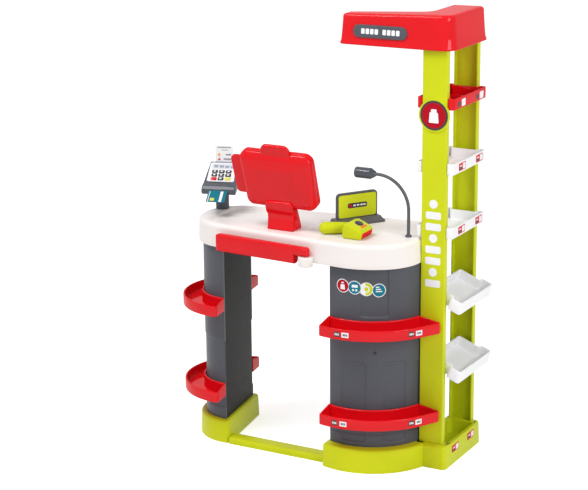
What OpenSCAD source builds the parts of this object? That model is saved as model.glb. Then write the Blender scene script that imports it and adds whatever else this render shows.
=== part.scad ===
// Toy market stall: a round-ended counter on two curved cabinets, beside a tall rack with a canopy.
// X runs along the counter to the rack, -Y is the customer's side, Z is up, millimetres.

/* [Plan] */
// Distance along the counter between the two cabinets' axes
cabinet_spacing = 395; // [370:1:430]
// How far the side cabinet's axis stands ahead of the front cabinet's axis
side_lead = 38; // [25:1:50]
// Distance from the front cabinet's axis to the near side of the rack
rack_offset = 163; // [160:1:175]
// How far the rack's front face stands ahead of the front cabinet's axis
rack_lead = 43; // [36:1:50]
// Turn of the side cabinet's flat face, degrees
side_turn = 9; // [0:1:15]
// How far the side cabinet's flat face lies outside its axis
side_face = 13; // [4:1:20]

/* [Bases] */
// Height of both lime bases
base_h = 66; // [50:1:80]
// How far the front base stands out round its cabinet
plinth_out = 30; // [20:1:40]
// How far the side foot stands out round its cabinet
foot_out = 17; // [12:1:24]
// How far the rack's base stands out in front and to the side
rack_base_out = 18; // [12:1:24]
// Depth of the goods bin sunk in the rack's base
base_bin_depth = 40; // [20:1:45]
// Width of the floor bar
bar_w = 44; // [36:1:60]
// Height of the floor bar
bar_h = 19; // [12:1:28]

/* [Cabinets] */
// Radius of the front cabinet's curved face
cabinet_r = 165; // [155:1:175]
// Distance from the front cabinet's axis to its flat side
cabinet_side = 54; // [46:1:66]
// Distance from the front cabinet's axis to its back
cabinet_back = 40; // [30:1:60]
// Radius of the side cabinet
side_r = 108; // [100:1:115]
// Wall of both cabinets
cabinet_wall = 6; // [5:0.5:8]
// Thickness of the cabinets' back panels
back_panel_t = 4; // [3:0.5:6]
// Depth of the recesses pressed into the curved faces
recess_depth = 2; // [1:0.25:2]
// Width of the upright recess
recess_w = 74; // [50:1:90]
// Height above the floor of the step in the curved faces
step_z = 299; // [270:1:330]
// Diameter of the fixing screws' heads
screw_d = 9; // [6:0.5:12]

/* [Shelves] */
// How far a curved shelf stands out from its cabinet
shelf_reach = 60; // [45:1:70]
// Height of a curved shelf's lip
shelf_h = 30; // [22:1:36]
// Wall of the shelves and bins
shelf_wall = 3.5; // [3:0.25:4.5]
// Height of the upper shelves' underside above the floor
shelf_upper_z = 387; // [360:1:400]
// Height of the lower shelves' underside above the floor
shelf_lower_z = 135; // [110:1:150]
// How much higher than its lip a curved shelf stands against its cabinet
upstand = 10; // [4:1:14]

/* [Counter] */
// Height of the counter's top above the floor
counter_z = 640; // [600:1:680]
// Depth of the counter's apron
apron_h = 66; // [60:1:76]
// Wall of the counter
counter_wall = 5; // [4:0.5:6]
// How far the counter stands out past the front cabinet
counter_out = 20; // [14:1:24]
// How far the counter stands out past the side cabinet
side_counter_out = 12; // [8:1:18]
// Radius of the counter's top edge
counter_edge = 12; // [8:1:16]
// How far the apron flares out at its foot
apron_flare = 4; // [0:0.5:6]
// Depth of the trays in the counter's top
tray_depth = 7; // [3:0.5:9]

/* [Gate] */
// Length of the gate from its pivot to its free end
gate_len = 290; // [240:1:300]
// Height of the gate
gate_h = 48; // [40:1:56]
// Thickness of the gate
gate_t = 22; // [16:1:24]
// Radius of the round boss that carries the gate
boss_r = 20; // [16:1:24]
// Diameter of the gate's pin
gate_pin_d = 8; // [6:0.5:10]

/* [Rack] */
// Width of the rack's upright panels
panel_w = 70; // [60:1:84]
// Depth of the rack over both panels
rack_d = 218; // [190:1:230]
// Depth of one upright panel
panel_t = 18; // [14:1:24]
// Wall of an upright panel
panel_wall = 4; // [3:0.5:5]
// Height of the underside of the lowest flat shelf above the floor
rack_shelf_z = 648; // [645:1:665]
// Height of the top bay from the top shelf's rim to the canopy
top_bay_h = 126; // [110:1:140]
// How far the flat shelves and bins stand out at the front of the rack
rack_reach = 20; // [14:1:22]
// Height of the upper bin's pivot line above the floor
bin_upper_z = 459; // [445:1:470]
// Drop from the upper bin to the lower bin
bin_pitch = 194; // [170:1:200]
// Tilt of the bins, degrees
bin_tilt = 22; // [15:1:28]
// How far the bins stand out from the rack
bin_reach = 52; // [40:1:60]
// Drop from the canopy's foot to the middle of the round badge
badge_drop = 172; // [160:1:185]
// Diameter of the round badge
badge_d = 79; // [60:1:80]

/* [Canopy] */
// Height of the canopy's top above the floor
total_h = 1240; // [1200:1:1290]
// Height of the canopy
canopy_h = 90; // [80:1:100]
// Length of the canopy along the counter
canopy_len = 327; // [280:1:380]
// Depth of the canopy's arm
arm_d = 62; // [50:1:80]
// How far the canopy overhangs the rack
canopy_over = 17; // [12:1:24]
// Radius of the canopy's front corner over the rack
canopy_corner_r = 28; // [14:1:28]
// How much deeper the canopy's arm grows towards the rack
arm_splay = 40; // [0:1:50]
// Draw-in of the canopy's sides from foot to top
canopy_draft = 7; // [3:0.5:8]
// Wall of the canopy
canopy_wall = 4; // [3:0.5:5]

/* [Till monitor] */
// Width of the monitor
monitor_w = 220; // [190:1:250]
// Height of the monitor along its face
monitor_h = 166; // [150:1:180]
// Thickness of the monitor's rear casing
casing_t = 28; // [24:1:36]
// Thickness of the screen's frame
bezel_t = 14; // [10:1:18]
// Lean of the monitor towards the customer, degrees
monitor_lean = 18.5; // [8:0.5:22]
// Width of the monitor's stand
stand_w = 80; // [60:1:100]
// Height of the monitor's lower edge above the counter
monitor_lift = 65; // [55:1:75]

/* [Card reader] */
// Diameter of the reader's post
post_d = 38; // [30:1:44]
// Height of the reader's underside above the counter
post_h = 50; // [40:1:60]
// Width of the reader's nose
reader_w = 98; // [80:1:110]
// Length of the bank card
card_len = 70; // [60:1:80]
// Width of the bank card
card_w = 54; // [40:1:60]
// Thickness of the bank card
card_t = 1.2; // [0.8:0.1:1.5]

/* [Scanner, display and microphone] */
// Length of the scanner's handle
handle_len = 68; // [60:1:80]
// Diameter of the scanner's handle
handle_d = 30; // [24:1:34]
// Width of the scanner's head
head_w = 72; // [54:1:78]
// Diameter of the scanner's button
button_d = 20; // [14:1:22]
// Width of the display panel
display_w = 128; // [100:1:136]
// Height of the display panel
display_h = 72; // [60:1:80]
// Diameter of the microphone's stem
mic_d = 9; // [7:0.5:11]
// Straight height of the microphone's stem above the counter
mic_rise = 70; // [60:1:90]
// Radius of the microphone's bend
mic_bend = 92; // [70:1:98]
// Diameter of the microphone's head
mic_head_d = 30; // [24:1:34]

/* [Hidden] */
$fn = 96;
gap = 0.3;
run_fit = 0.05;
tiny = 0.01;
past = 40;
base_side = cabinet_side + 12;
foot_face = foot_out - 2 - side_face;

// Where the two cabinets and the rack stand, so that the origin is under the middle of the whole
x_reach_left = cabinet_spacing + side_r + shelf_reach;
x_reach_right = rack_offset + panel_w + bin_reach;
rack_back_over = 8;
front_x = (x_reach_left - x_reach_right) / 2;
front_y = (cabinet_r + shelf_reach + rack_lead - rack_d - rack_back_over) / 2;
side_x = front_x - cabinet_spacing;
side_y = front_y - side_lead;
rack_x = front_x + rack_offset;
rack_y = front_y - rack_lead;
rack_end_x = rack_x + panel_w;
rack_end_y = rack_y + rack_d;

// Heights
apron_z = counter_z - apron_h;
canopy_z = total_h - canopy_h;
cabinet_h = apron_z - base_h;
rack_pitch = (canopy_z - top_bay_h - shelf_h - rack_shelf_z) / 2;
badge_z = canopy_z - badge_drop;
panel_top = canopy_z + 20;

// Directions
cabinet_face = -62;
reader_face = 18;
shelf_leave = 28;
display_turn = 56;
scanner_turn = 31;

// Counter
counter_left_r = side_r + side_counter_out;
counter_front_r = cabinet_r + counter_out;
counter_end_x = rack_x - gap;
corner_r = 130;
back_corner_r = 30;
end_angle = acos((rack_offset - gap - corner_r) / (counter_front_r - corner_r));
bulge_angles = [-102, -90, -78, -66, -end_angle];
counter_back_y = rack_end_y - 28;
left_disc = [side_x, side_y];

// Gate: its line is the front tangent of the counter's two round ends
bulge_front_y = front_y - counter_front_r;
left_front_y = side_y - counter_left_r;
front_slope = atan((bulge_front_y - left_front_y) / cabinet_spacing);
gate_off = apron_flare + gate_t / 2 + 2;
pivot_along = 290;
pivot_x = side_x + pivot_along;
pivot_y = left_front_y + pivot_along * tan(front_slope) - gate_off;
gate_z = apron_z - 2;
gate_seat_z = gate_z + gate_h * 0.48;
boss_z = apron_z - 6;

// Monitor
monitor_x = side_x + 0.456 * cabinet_spacing;
monitor_y = left_front_y + 52;
monitor_z = counter_z + monitor_lift;
stand_d = 54;
tab_w = 44;
lug_w = 36;
lug_h = 0.7 * monitor_h;

// Reader
reader_x = side_x - 0.815 * side_r;
reader_y = side_y + 0.426 * side_r;
reader_z = counter_z + post_h;
nose = 54;
card_out = 45;
card_mouth = 12;
card_tilt = 30;
card_slot = card_t + 0.8;

// Scanner
scanner_x = front_x - 0.194 * cabinet_r;
scanner_y = front_y - 0.473 * cabinet_r;
head_len = 50;
head_h = 42;
button_travel = 2;
button_h = 6;

// Display
display_x = front_x - 0.436 * cabinet_r;
display_y = front_y + 0.2515 * cabinet_r;
display_t = 9;
display_base_h = 14;
wedge_front = 46;
wedge_back = 26;

// Microphone
mic_x = rack_x - 39;
mic_y = front_y - 38;
collar_d = 18;
collar_h = 6;
socket_depth = 5;
mic_head_len = 60;
mic_neck = 6;

// Rack
shelf_levels = [rack_shelf_z, rack_shelf_z + rack_pitch, rack_shelf_z + 2 * rack_pitch];
tab_reach = 16;
bin_h = 33;
bin_in = 58;
bin_len = (bin_reach - bin_h * sin(bin_tilt)) / cos(bin_tilt);
bin_toe = 4;
disc_d = badge_d + 9;

lime = "#d2da2d";
red = "#e2242d";
grey = "#56585e";
dark = "#383735";
white = "#eeeae8";

// Moves children to the front cabinet's axis, the side cabinet's axis or the rack's near corner
module at_front() { translate([front_x, front_y, 0]) children(); }
module at_side() { translate([side_x, side_y, 0]) rotate([0, 0, side_turn]) children(); }
module at_rack() { translate([rack_x, rack_y, 0]) children(); }

module slab(z, h) { translate([0, 0, z]) linear_extrude(h) children(); }

module box(from, to) { translate(from) cube(to - from); }

module round_square(size, r) {
    for (x = [r, size[0] - r], y = [r, size[1] - r]) translate([x, y]) circle(r);
    translate([r, 0]) square([size[0] - 2 * r, size[1]]);
    translate([0, r]) square([size[0], size[1] - 2 * r]);
}

// Plan of the front cabinet or a ring round it: a circle cut by its flat side and by the rack
module front_plan(r, side, back, end) {
    intersection() {
        circle(r);
        translate([-side, -r - past]) square([side + end, r + past + back]);
    }
}

// Plan of the side cabinet or a ring round it: a circle cut by the flat face
module side_plan(r, face) {
    intersection() {
        circle(r);
        translate([-r - past, -r - past]) square([r + past + face, 2 * (r + past)]);
    }
}

module right_base() {
    base_r = cabinet_r + plinth_out;
    color(lime) difference() {
        union() {
            at_front() slab(0, base_h) front_plan(base_r, base_side, cabinet_back + 15, rack_offset + 30);
            at_rack() slab(0, base_h) translate([-14, -rack_base_out - 2])
                round_square([panel_w + rack_base_out + 14, rack_d + rack_base_out + 2 + rack_back_over], 8);
        }
        at_rack() slab(base_h - base_bin_depth, past + base_bin_depth) translate([panel_wall, panel_t + 2])
            round_square([panel_w + rack_base_out - 2 * panel_wall, rack_d - 2 * panel_t - 4], 6);
    }
}

module left_foot() {
    color(lime) at_side() slab(0, base_h) side_plan(side_r + foot_out, foot_face);
}

// Level bar on the floor from the foot's flat face to the front base
module floor_bar() {
    bar_y = side_y - side_r - foot_out - 1;
    color(lime) difference() {
        box([side_x - past, bar_y, 0], [front_x - base_side, bar_y + bar_w, bar_h]);
        at_side() translate([-2 * side_r, -2 * side_r, -1])
            cube([2 * side_r + foot_face, 4 * side_r, bar_h + 2]);
    }
}

// Ring of the recesses pressed into a curved face: a step below step_z and an upright band
module face_recess(r, face) {
    difference() {
        intersection() {
            translate([0, 0, base_h]) cylinder(r = r + past, h = cabinet_h);
            union() {
                slab(shelf_lower_z + shelf_h + upstand, step_z - shelf_lower_z - shelf_h - upstand)
                    square(4 * r, center = true);
                rotate([0, 0, face]) translate([0, -recess_w / 2, shelf_upper_z + shelf_h + upstand])
                    cube([2 * r, recess_w, apron_z - shelf_upper_z - shelf_h - upstand - 12]);
            }
        }
        translate([0, 0, base_h - 1]) cylinder(r = r - recess_depth, h = cabinet_h + 2);
    }
}

// Screw hole through a curved face
module face_hole(r, face) {
    rotate([0, 0, face]) translate([r - 2 * cabinet_wall, 0, step_z + 38]) rotate([0, 90, 0])
        cylinder(d = screw_d + 2 * gap, h = 3 * cabinet_wall);
}

module right_cabinet() {
    end = rack_offset - gap;
    color(grey) at_front() difference() {
        slab(base_h, cabinet_h) difference() {
            front_plan(cabinet_r, cabinet_side, cabinet_back, end);
            front_plan(cabinet_r - cabinet_wall, cabinet_side - cabinet_wall,
                cabinet_back + 1, end - cabinet_wall);
        }
        face_recess(cabinet_r, cabinet_face);
        face_hole(cabinet_r, cabinet_face);
    }
}

module right_cabinet_back() {
    inner = cabinet_wall + gap;
    round_end = sqrt(pow(cabinet_r - cabinet_wall, 2) - pow(cabinet_back, 2)) - gap;
    color(dark) at_front() box([-cabinet_side + inner, cabinet_back - back_panel_t, base_h],
        [min(rack_offset - gap - inner, round_end), cabinet_back, apron_z]);
}

module left_cabinet() {
    color(grey) at_side() difference() {
        slab(base_h, cabinet_h) difference() {
            side_plan(side_r, -side_face);
            side_plan(side_r - cabinet_wall, 1);
        }
        face_recess(side_r, 180);
        face_hole(side_r, 180);
    }
}

module left_cabinet_back() {
    half = sqrt(pow(side_r - cabinet_wall, 2) - pow(side_face + back_panel_t, 2)) - gap;
    color(dark) at_side() box([-side_face - back_panel_t, -half, base_h], [-side_face, half, apron_z]);
}

// One screw through each curved face, its head seated in the hole
module face_screw(r, face) {
    rotate([0, 0, face]) translate([r - cabinet_wall, 0, step_z + 38]) rotate([0, 90, 0]) {
        cylinder(d = screw_d, h = cabinet_wall - 1.5);
    }
}

module cabinet_screws() {
    color(dark) {
        at_front() face_screw(cabinet_r, cabinet_face);
        at_side() face_screw(side_r, 180);
    }
}

// Plan of the front cabinet's shelf drawn in by a margin: a round front that runs straight on to the rack
module shelf_plan(in) {
    r = cabinet_r + shelf_reach - in;
    back = -rack_lead - gap - in;
    leave = [r * cos(shelf_leave), -r * sin(shelf_leave)];
    run = (back - leave[1]) / cos(shelf_leave);
    front_plan(r, cabinet_side + 2 - in, back, r);
    polygon([[0, back], leave, leave + run * [sin(shelf_leave), cos(shelf_leave)]]);
}

// Curved tray round a cabinet from its plan and its hollow's plan: a lip outside, an upstand inside
module curved_tray(z, r) {
    color(red) difference() {
        slab(z, shelf_h + upstand) children(0);
        difference() {
            union() {
                slab(z + shelf_wall, shelf_h + upstand) children(1);
                slab(z + shelf_h, 2 * upstand) square(4 * (r + shelf_reach), center = true);
            }
            cylinder(r = r + gap + shelf_wall, h = total_h);
        }
        cylinder(r = r + gap, h = total_h);
    }
}

module right_shelf(z) {
    at_front() curved_tray(z, cabinet_r) {
        shelf_plan(0);
        shelf_plan(shelf_wall);
    }
}

module left_shelf(z) {
    r = side_r + shelf_reach;
    at_side() curved_tray(z, side_r) {
        side_plan(r, -side_face);
        side_plan(r - shelf_wall, -side_face - shelf_wall);
    }
}

module right_shelf_upper() { right_shelf(shelf_upper_z); }
module right_shelf_lower() { right_shelf(shelf_lower_z); }
module left_shelf_upper() { left_shelf(shelf_upper_z); }
module left_shelf_lower() { left_shelf(shelf_lower_z); }

// Disc with a rounded top edge and a flared foot, one corner of the counter's outline
module counter_disc(r, z, h, edge, flare) {
    steps = [0 : 22.5 : 90];
    translate([0, 0, z]) rotate_extrude($fn = 64) polygon(concat(
        [[0, 0], [r + flare, 0]],
        [for (a = steps) [r - edge + edge * cos(a), h - edge + edge * sin(a)]],
        [[0, h]]));
}

// The counter's rounded outline drawn in by a margin
module counter_blank(margin, z, h, edge, flare) {
    r = corner_r - margin;
    hull() {
        translate(left_disc) counter_disc(counter_left_r - margin, z, h, edge, flare);
        for (a = bulge_angles) translate([front_x, front_y])
            rotate([0, 0, a]) translate([counter_front_r - corner_r, 0]) rotate([0, 0, -a])
                counter_disc(r, z, h, edge, flare);
        translate([counter_end_x - back_corner_r, counter_back_y - back_corner_r])
            counter_disc(back_corner_r - margin, z, h, edge, flare);
    }
}

module counter_top() {
    top_wall = counter_wall + tray_depth;
    color(white) difference() {
        union() {
            difference() {
                counter_blank(0, apron_z, apron_h, counter_edge, apron_flare);
                counter_blank(counter_wall, apron_z - 1, apron_h - top_wall + 1, 2, apron_flare);
            }
            translate([pivot_x, pivot_y, boss_z]) cylinder(r = boss_r, h = gate_seat_z - gap - boss_z);
            translate([mic_x, mic_y, counter_z - top_wall - tiny]) cylinder(d = collar_d, h = top_wall);
        }
        // the flare ends at the rack
        box([rack_x - gap, rack_y - past, 0], [rack_x + past, rack_end_y + past, total_h]);
        // round tray at the side end, coin trays and the scanning bed
        translate([side_x, side_y, counter_z - tray_depth]) intersection() {
            cylinder(r = side_r - 12, h = past);
            translate([-side_r + 46, -side_r, 0]) cube([2 * side_r, 2 * side_r, past]);
        }
        for (i = [0 : 2]) translate([side_x + 108, side_y - 34 + 36 * i, counter_z - tray_depth])
            linear_extrude(past) round_square([26, 30], 5);
        translate([monitor_x + 58, side_y - 58, counter_z - tray_depth / 2])
            linear_extrude(past) round_square([48, 118], 6);
        translate([pivot_x, pivot_y, boss_z - 1]) cylinder(d = gate_pin_d + 2 * run_fit, h = past + boss_r);
        translate([mic_x, mic_y, counter_z - socket_depth]) cylinder(d = mic_d + 2 * run_fit, h = past);
    }
}

// Swing gate: a bar whose pivot end rides on the boss, cut away below it
module gate_arm() {
    half = gate_t / 2;
    color(red) translate([pivot_x, pivot_y, 0]) rotate([0, 0, front_slope]) difference() {
        union() {
            translate([-gate_len, -half, gate_z]) rotate([90, 0, 90])
                linear_extrude(gate_len) round_square([gate_t, gate_h], 4);
            translate([0, 0, gate_seat_z]) cylinder(d = gate_t, h = gate_z + gate_h - gate_seat_z);
        }
        box([-boss_r - 10, -gate_t, gate_z - 1], [gate_t, gate_t, gate_seat_z]);
        translate([0, 0, gate_z]) cylinder(d = gate_pin_d + 2 * run_fit, h = gate_h - 8);
    }
}

module gate_pin() {
    color("silver") translate([pivot_x, pivot_y, boss_z])
        cylinder(d = gate_pin_d, h = gate_z + gate_h - 8 - gap - boss_z);
}

// Upright channel section, open towards the inside of the rack
module rack_panel() {
    slab(base_h, panel_top - base_h) difference() {
        round_square([panel_w, panel_t], 2.5);
        translate([panel_wall, panel_wall]) square([panel_w - 2 * panel_wall, panel_t]);
    }
}

module rack_front_panel() {
    color(lime) at_rack() {
        rack_panel();
        translate([panel_w / 2, 0, badge_z]) rotate([90, 0, 0]) translate([0, 0, -1])
            cylinder(d = disc_d, h = 4);
    }
}

module rack_rear_panel() {
    color(lime) at_rack() translate([0, rack_d, 0]) mirror([0, 1, 0]) rack_panel();
}

module badge() {
    color(red) at_rack() translate([panel_w / 2, -3, badge_z]) rotate([90, 0, 0])
        cylinder(d = badge_d, h = 1.5);
}

// Plan of a flat rack shelf: a middle between the panels and a broad strip outside each panel edge
module rack_shelf_plan(in) {
    y0 = panel_t + gap;
    translate([-tab_reach + in, y0 + in])
        square([panel_w + tab_reach + rack_reach - 2 * in, rack_d - 2 * (y0 + in)]);
    for (x = [-tab_reach, panel_w + gap])
        translate([x + in, 2 + in])
            round_square([(x < 0 ? tab_reach : rack_reach) - gap - 2 * in, rack_d - 4 - 2 * in], 3);
}

module rack_shelf(z) {
    at_rack() difference() {
        slab(z, shelf_h) rack_shelf_plan(0);
        slab(z + shelf_wall, shelf_h) rack_shelf_plan(shelf_wall);
    }
}

module rack_shelf_top() { color(red) rack_shelf(shelf_levels[2]); }
module rack_shelf_middle() { color(white) rack_shelf(shelf_levels[1]); }
module rack_shelf_low() { color(white) rack_shelf(shelf_levels[0]); }

// Tilted goods bin: narrow between the panels, full width outside them, with a leaning front
module bin_shape(in, floor) {
    y0 = panel_t + gap + in;
    toe = [[bin_len + bin_toe - in, floor], [bin_len - in, bin_h + floor]];
    face = concat(toe, [[-bin_in + in, bin_h + floor], [-bin_in + in, floor]]);
    outer = concat(toe, [[6 + in, bin_h + floor], [6 + in, floor]]);
    translate([0, rack_d - y0, 0]) rotate([90, 0, 0]) linear_extrude(rack_d - 2 * y0) polygon(face);
    translate([0, rack_d - 2 - in, 0]) rotate([90, 0, 0]) linear_extrude(rack_d - 4 - 2 * in) polygon(outer);
}

module goods_bin(z) {
    color(white) translate([rack_end_x, rack_y, z]) rotate([0, bin_tilt, 0]) difference() {
        bin_shape(0, 0);
        bin_shape(shelf_wall, shelf_wall);
    }
}

module bin_upper() { goods_bin(bin_upper_z); }
module bin_lower() { goods_bin(bin_upper_z - bin_pitch); }

// One drafted block of the canopy, from its plan corner and size, with a broad front corner over the rack
module canopy_block(from, size, in, h, splay) {
    hull() for (level = [0, 1], x = [0, 1], y = [0, 1]) {
        r = x == 1 && y == 0 ? canopy_corner_r : 14;
        inset = r + in + level * canopy_draft;
        translate([
            from[0] + (x == 1 ? size[0] - inset : inset),
            from[1] + (y == 1 ? size[1] + x * splay - inset : inset),
            canopy_z + level * (h - canopy_band) - (in > 0 ? 1 : 0)])
            cylinder(r1 = r, r2 = level == 1 && in == 0 ? r - 5 : r, h = canopy_band, $fn = 32);
    }
}

canopy_band = 6;
arm_drop = 8;
canopy_end_x = rack_end_x + canopy_over;
canopy_front_y = rack_y - 12;
block_w = panel_w + canopy_over + 20;
block_d = rack_end_y + rack_back_over - canopy_front_y;

module canopy_form(in, h) {
    canopy_block([canopy_end_x - canopy_len, canopy_front_y], [canopy_len, arm_d],
        in, h - arm_drop, arm_splay);
    canopy_block([canopy_end_x - block_w, canopy_front_y], [block_w, block_d], in, h, 0);
}

module canopy() {
    seat = canopy_draft + canopy_wall;
    color(red) {
        difference() {
            canopy_form(0, canopy_h);
            canopy_form(canopy_wall, canopy_h - canopy_wall);
        }
        box([rack_x - 4, rack_y, panel_top], [rack_end_x + 4, rack_end_y, panel_top + canopy_wall]);
        for (y = [rack_y + 6, rack_end_y - 6 - canopy_wall])
            box([canopy_end_x - block_w + seat, y, panel_top],
                [canopy_end_x - seat, y + canopy_wall, total_h - canopy_wall]);
    }
}

sign_w = 156;
sign_h = 34;
sign_t = 3;

module sign_plate() {
    lean = atan(canopy_draft / (canopy_h - arm_drop - 2 * canopy_band));
    color(dark) translate([canopy_end_x - canopy_len + 43, canopy_front_y, canopy_z + canopy_band])
        rotate([90 - lean, 0, 0]) translate([0, 14, 0.05])
            linear_extrude(sign_t) round_square([sign_w, sign_h], 16);
}

// Moves children to the middle of the monitor's lower edge, leaning with it; +Z is up its face
module at_monitor() { translate([monitor_x, monitor_y, monitor_z]) rotate([monitor_lean, 0, 0]) children(); }

// Rear casing with rounded edges, a back that slopes near its top, and a hand tab
module monitor_casing() {
    r = 18;
    edge = 8;
    w = monitor_w / 2;
    slope_h = 0.19 * monitor_h;
    color(red) at_monitor() {
        hull() for (s = [-1, 1], z = [r, monitor_h - r]) {
            translate([s * (w - r), 0, z]) rotate([90, 0, 0]) cylinder(r = r, h = casing_t - edge, $fn = 32);
            translate([s * (w - r), 0, z > r ? z - slope_h : z]) rotate([90, 0, 0])
                cylinder(r = r - edge, h = casing_t, $fn = 32);
        }
        hull() for (s = [-1, 1]) translate([4 + s * tab_w / 2, 0, monitor_h + 2]) rotate([90, 0, 0])
            cylinder(r = 20, h = casing_t * 0.6, $fn = 32);
    }
}

// Frame on the cashier's side, with a narrow side lug, round the screen
module monitor_bezel() {
    color(red) at_monitor() difference() {
        union() {
            translate([-monitor_w / 2, bezel_t, 0]) rotate([90, 0, 0]) linear_extrude(bezel_t)
                round_square([monitor_w, monitor_h], 18);
            translate([-monitor_w / 2 - lug_w, bezel_t, 24]) rotate([90, 0, 0]) linear_extrude(bezel_t)
                round_square([2 * lug_w, lug_h], 12);
        }
        translate([-monitor_w / 2 + 16, bezel_t + 1, 16]) rotate([90, 0, 0])
            linear_extrude(4) round_square([monitor_w - 32, monitor_h - 32], 8);
    }
}

module monitor_screen() {
    inset = 16 + gap;
    color(dark) at_monitor() translate([-monitor_w / 2 + inset, bezel_t - gap, inset]) rotate([90, 0, 0])
        linear_extrude(3 - gap) round_square([monitor_w - 2 * inset, monitor_h - 2 * inset], 8);
}

// Stand: a broad bracket under the casing, with a lip that leans up its back
module monitor_stand() {
    front = monitor_y - casing_t - 5;
    lip_t = 6;
    side = [
        [front, counter_z], [front + stand_d, counter_z], [front + stand_d - 3, counter_z + 12],
        [monitor_y - 3, monitor_z + 2], [front + 2, monitor_z - 6], [front + 3, monitor_z - 20],
        [front + 6, monitor_z - 34], [front + 4, counter_z + 12]];
    color(red) difference() {
        union() {
            translate([monitor_x - stand_w / 2, 0, 0]) rotate([90, 0, 90])
                linear_extrude(stand_w) polygon(side);
            at_monitor()
                box([-stand_w / 2, -casing_t - gap - lip_t, -16], [stand_w / 2, -casing_t - gap, 28]);
        }
        at_monitor() box([-monitor_w / 2, -casing_t - gap, -gap], [monitor_w / 2, bezel_t + gap, monitor_h]);
    }
}

// Moves children to the top of the reader's post, +Y towards the customer
module at_reader() { translate([reader_x, reader_y, reader_z]) rotate([0, 0, reader_face + 180]) children(); }

module reader_post() {
    color(grey) translate([reader_x, reader_y, counter_z]) cylinder(d = post_d, h = post_h);
}

slip_w = 52;
key_foot = [22, 30];
key_top = [-29, 77];
reader_side = [
    [-40, 0], [nose - 8, 0], [nose, 5], [nose - 1, 16], [nose - 9, 25],
    key_foot, key_top, [-38, 76], [-44, 62]];

// Terminal housing: a side outline drawn across, narrowed towards the back, with a card slot
module reader_body() {
    back_w = reader_w * 0.72;
    color(grey) at_reader() difference() {
        intersection() {
            translate([-reader_w / 2, 0, 0]) rotate([90, 0, 90])
                linear_extrude(reader_w) polygon(reader_side);
            slab(-1, 3 * past) polygon([
                [-back_w / 2, -2 * past], [back_w / 2, -2 * past],
                [reader_w / 2, nose - 24], [reader_w / 2, nose + 2],
                [-reader_w / 2, nose + 2], [-reader_w / 2, nose - 24]]);
        }
        at_card() translate([-card_w / 2 - 0.6, card_out - card_len - 2, -card_slot / 2])
            cube([card_w + 1.2, card_len + past, card_slot]);
        translate([-slip_w / 2 - 2, key_top[0] - 5.3, 40]) cube([slip_w + 4, 1.4, 2 * past]);
    }
}

// Moves children to the card's mouth in the nose, in the reader's own place
// +Y is out and down along the card
module at_card() { translate([0, nose, card_mouth]) rotate([-card_tilt, 0, 0]) children(); }

// Moves children onto the reader's sloping face, +Y up the slope
module on_reader_face() {
    slope = atan((key_top[1] - key_foot[1]) / (key_foot[0] - key_top[0]));
    at_reader() translate([0, key_foot[0], key_foot[1]]) rotate([0, 0, 180]) rotate([slope, 0, 0]) children();
}

module reader_keys() {
    color("white") on_reader_face() slab(0, 1.2) translate([-34, 2]) round_square([68, 64], 5);
    color(dark) on_reader_face() for (i = [-1 : 1], j = [0 : 2])
        slab(1.2, 2.2) translate([19 * i - 7, 6 + 12 * j]) round_square([14, 10], 3);
}

module bank_card() {
    color("teal") at_reader() at_card() translate([-card_w / 2, card_out - card_len, -card_t / 2])
        linear_extrude(card_t) round_square([card_w, card_len], 3);
}

module receipt() {
    color("white") at_reader() translate([-slip_w / 2, key_top[0] - 5, 40.3]) cube([slip_w, 0.8, 84]);
}

// Moves children to the scanner's neck on the counter, +X towards its window
module at_scanner() { translate([scanner_x, scanner_y, counter_z]) rotate([0, 0, scanner_turn]) children(); }

// Moves children to the back top edge of the scanner's head, square to the counter
module at_head() { translate([scanner_x + 14, scanner_y + 15, counter_z]) children(); }

front_foot = [head_len - 5, 2];
front_top = [head_len, 20];
slope_foot = [head_len - 8, 27];
slope_top = [8, head_h];
head_side = [[-8, gap], [head_len - 6, gap], front_foot, front_top, slope_foot, slope_top,
    [-4, head_h - 2], [-10, 24]];
top_slope = atan((slope_top[1] - slope_foot[1]) / (slope_foot[0] - slope_top[0]));

module scanner_body() {
    r = handle_d / 2;
    color(lime) difference() {
        union() {
            at_scanner() translate([-handle_len, 0, r + gap]) {
                rotate([0, 90, 0]) cylinder(r1 = r, r2 = r - 3, h = handle_len + 12);
                sphere(r = r);
            }
            at_head() rotate([90, 0, 0]) linear_extrude(head_w) polygon(head_side);
        }
        at_button() translate([0, 0, -button_h]) cylinder(d = button_d + 2 * gap, h = past);
    }
}

// Moves children to the middle of the button's seat on the head's sloping top
module at_button() {
    seat = (slope_foot + slope_top) / 2;
    at_head() translate([seat[0] - 3 * cos(top_slope), -head_w * 0.42, seat[1] + 3 * sin(top_slope)])
        rotate([0, top_slope, 0]) children();
}

module scanner_button() {
    color(grey) at_button() translate([0, 0, -button_h + button_travel + gap])
        cylinder(d = button_d, h = button_h);
}

// Ribbed window let onto the foot of the head's front face
module scanner_window() {
    run = front_top - front_foot;
    along = run / norm(run);
    out = [along[1], -along[0]];
    color(red) at_head() translate([0, -6, 0]) rotate([90, 0, 0]) linear_extrude(head_w - 12)
        polygon([front_foot + along, front_foot + along + 2 * out,
            front_foot + 17 * along + 2 * out, front_foot + 17 * along]);
}

module at_display() { translate([display_x, display_y, counter_z]) rotate([0, 0, display_turn]) children(); }

// Wedge foot with a slot for the panel
module display_base() {
    w = display_w + 14;
    color(dark) at_display() difference() {
        translate([-w / 2, 0, 0]) rotate([90, 0, 90]) linear_extrude(w)
            polygon([
                [-wedge_front, 0], [wedge_back, 0],
                [wedge_back - 6, display_base_h], [-wedge_front / 3, display_base_h]]);
        translate([-display_w / 2 - gap, -display_t / 2 - gap, 4])
            cube([display_w + 2 * gap, display_t + 2 * gap, past]);
    }
}

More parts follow.
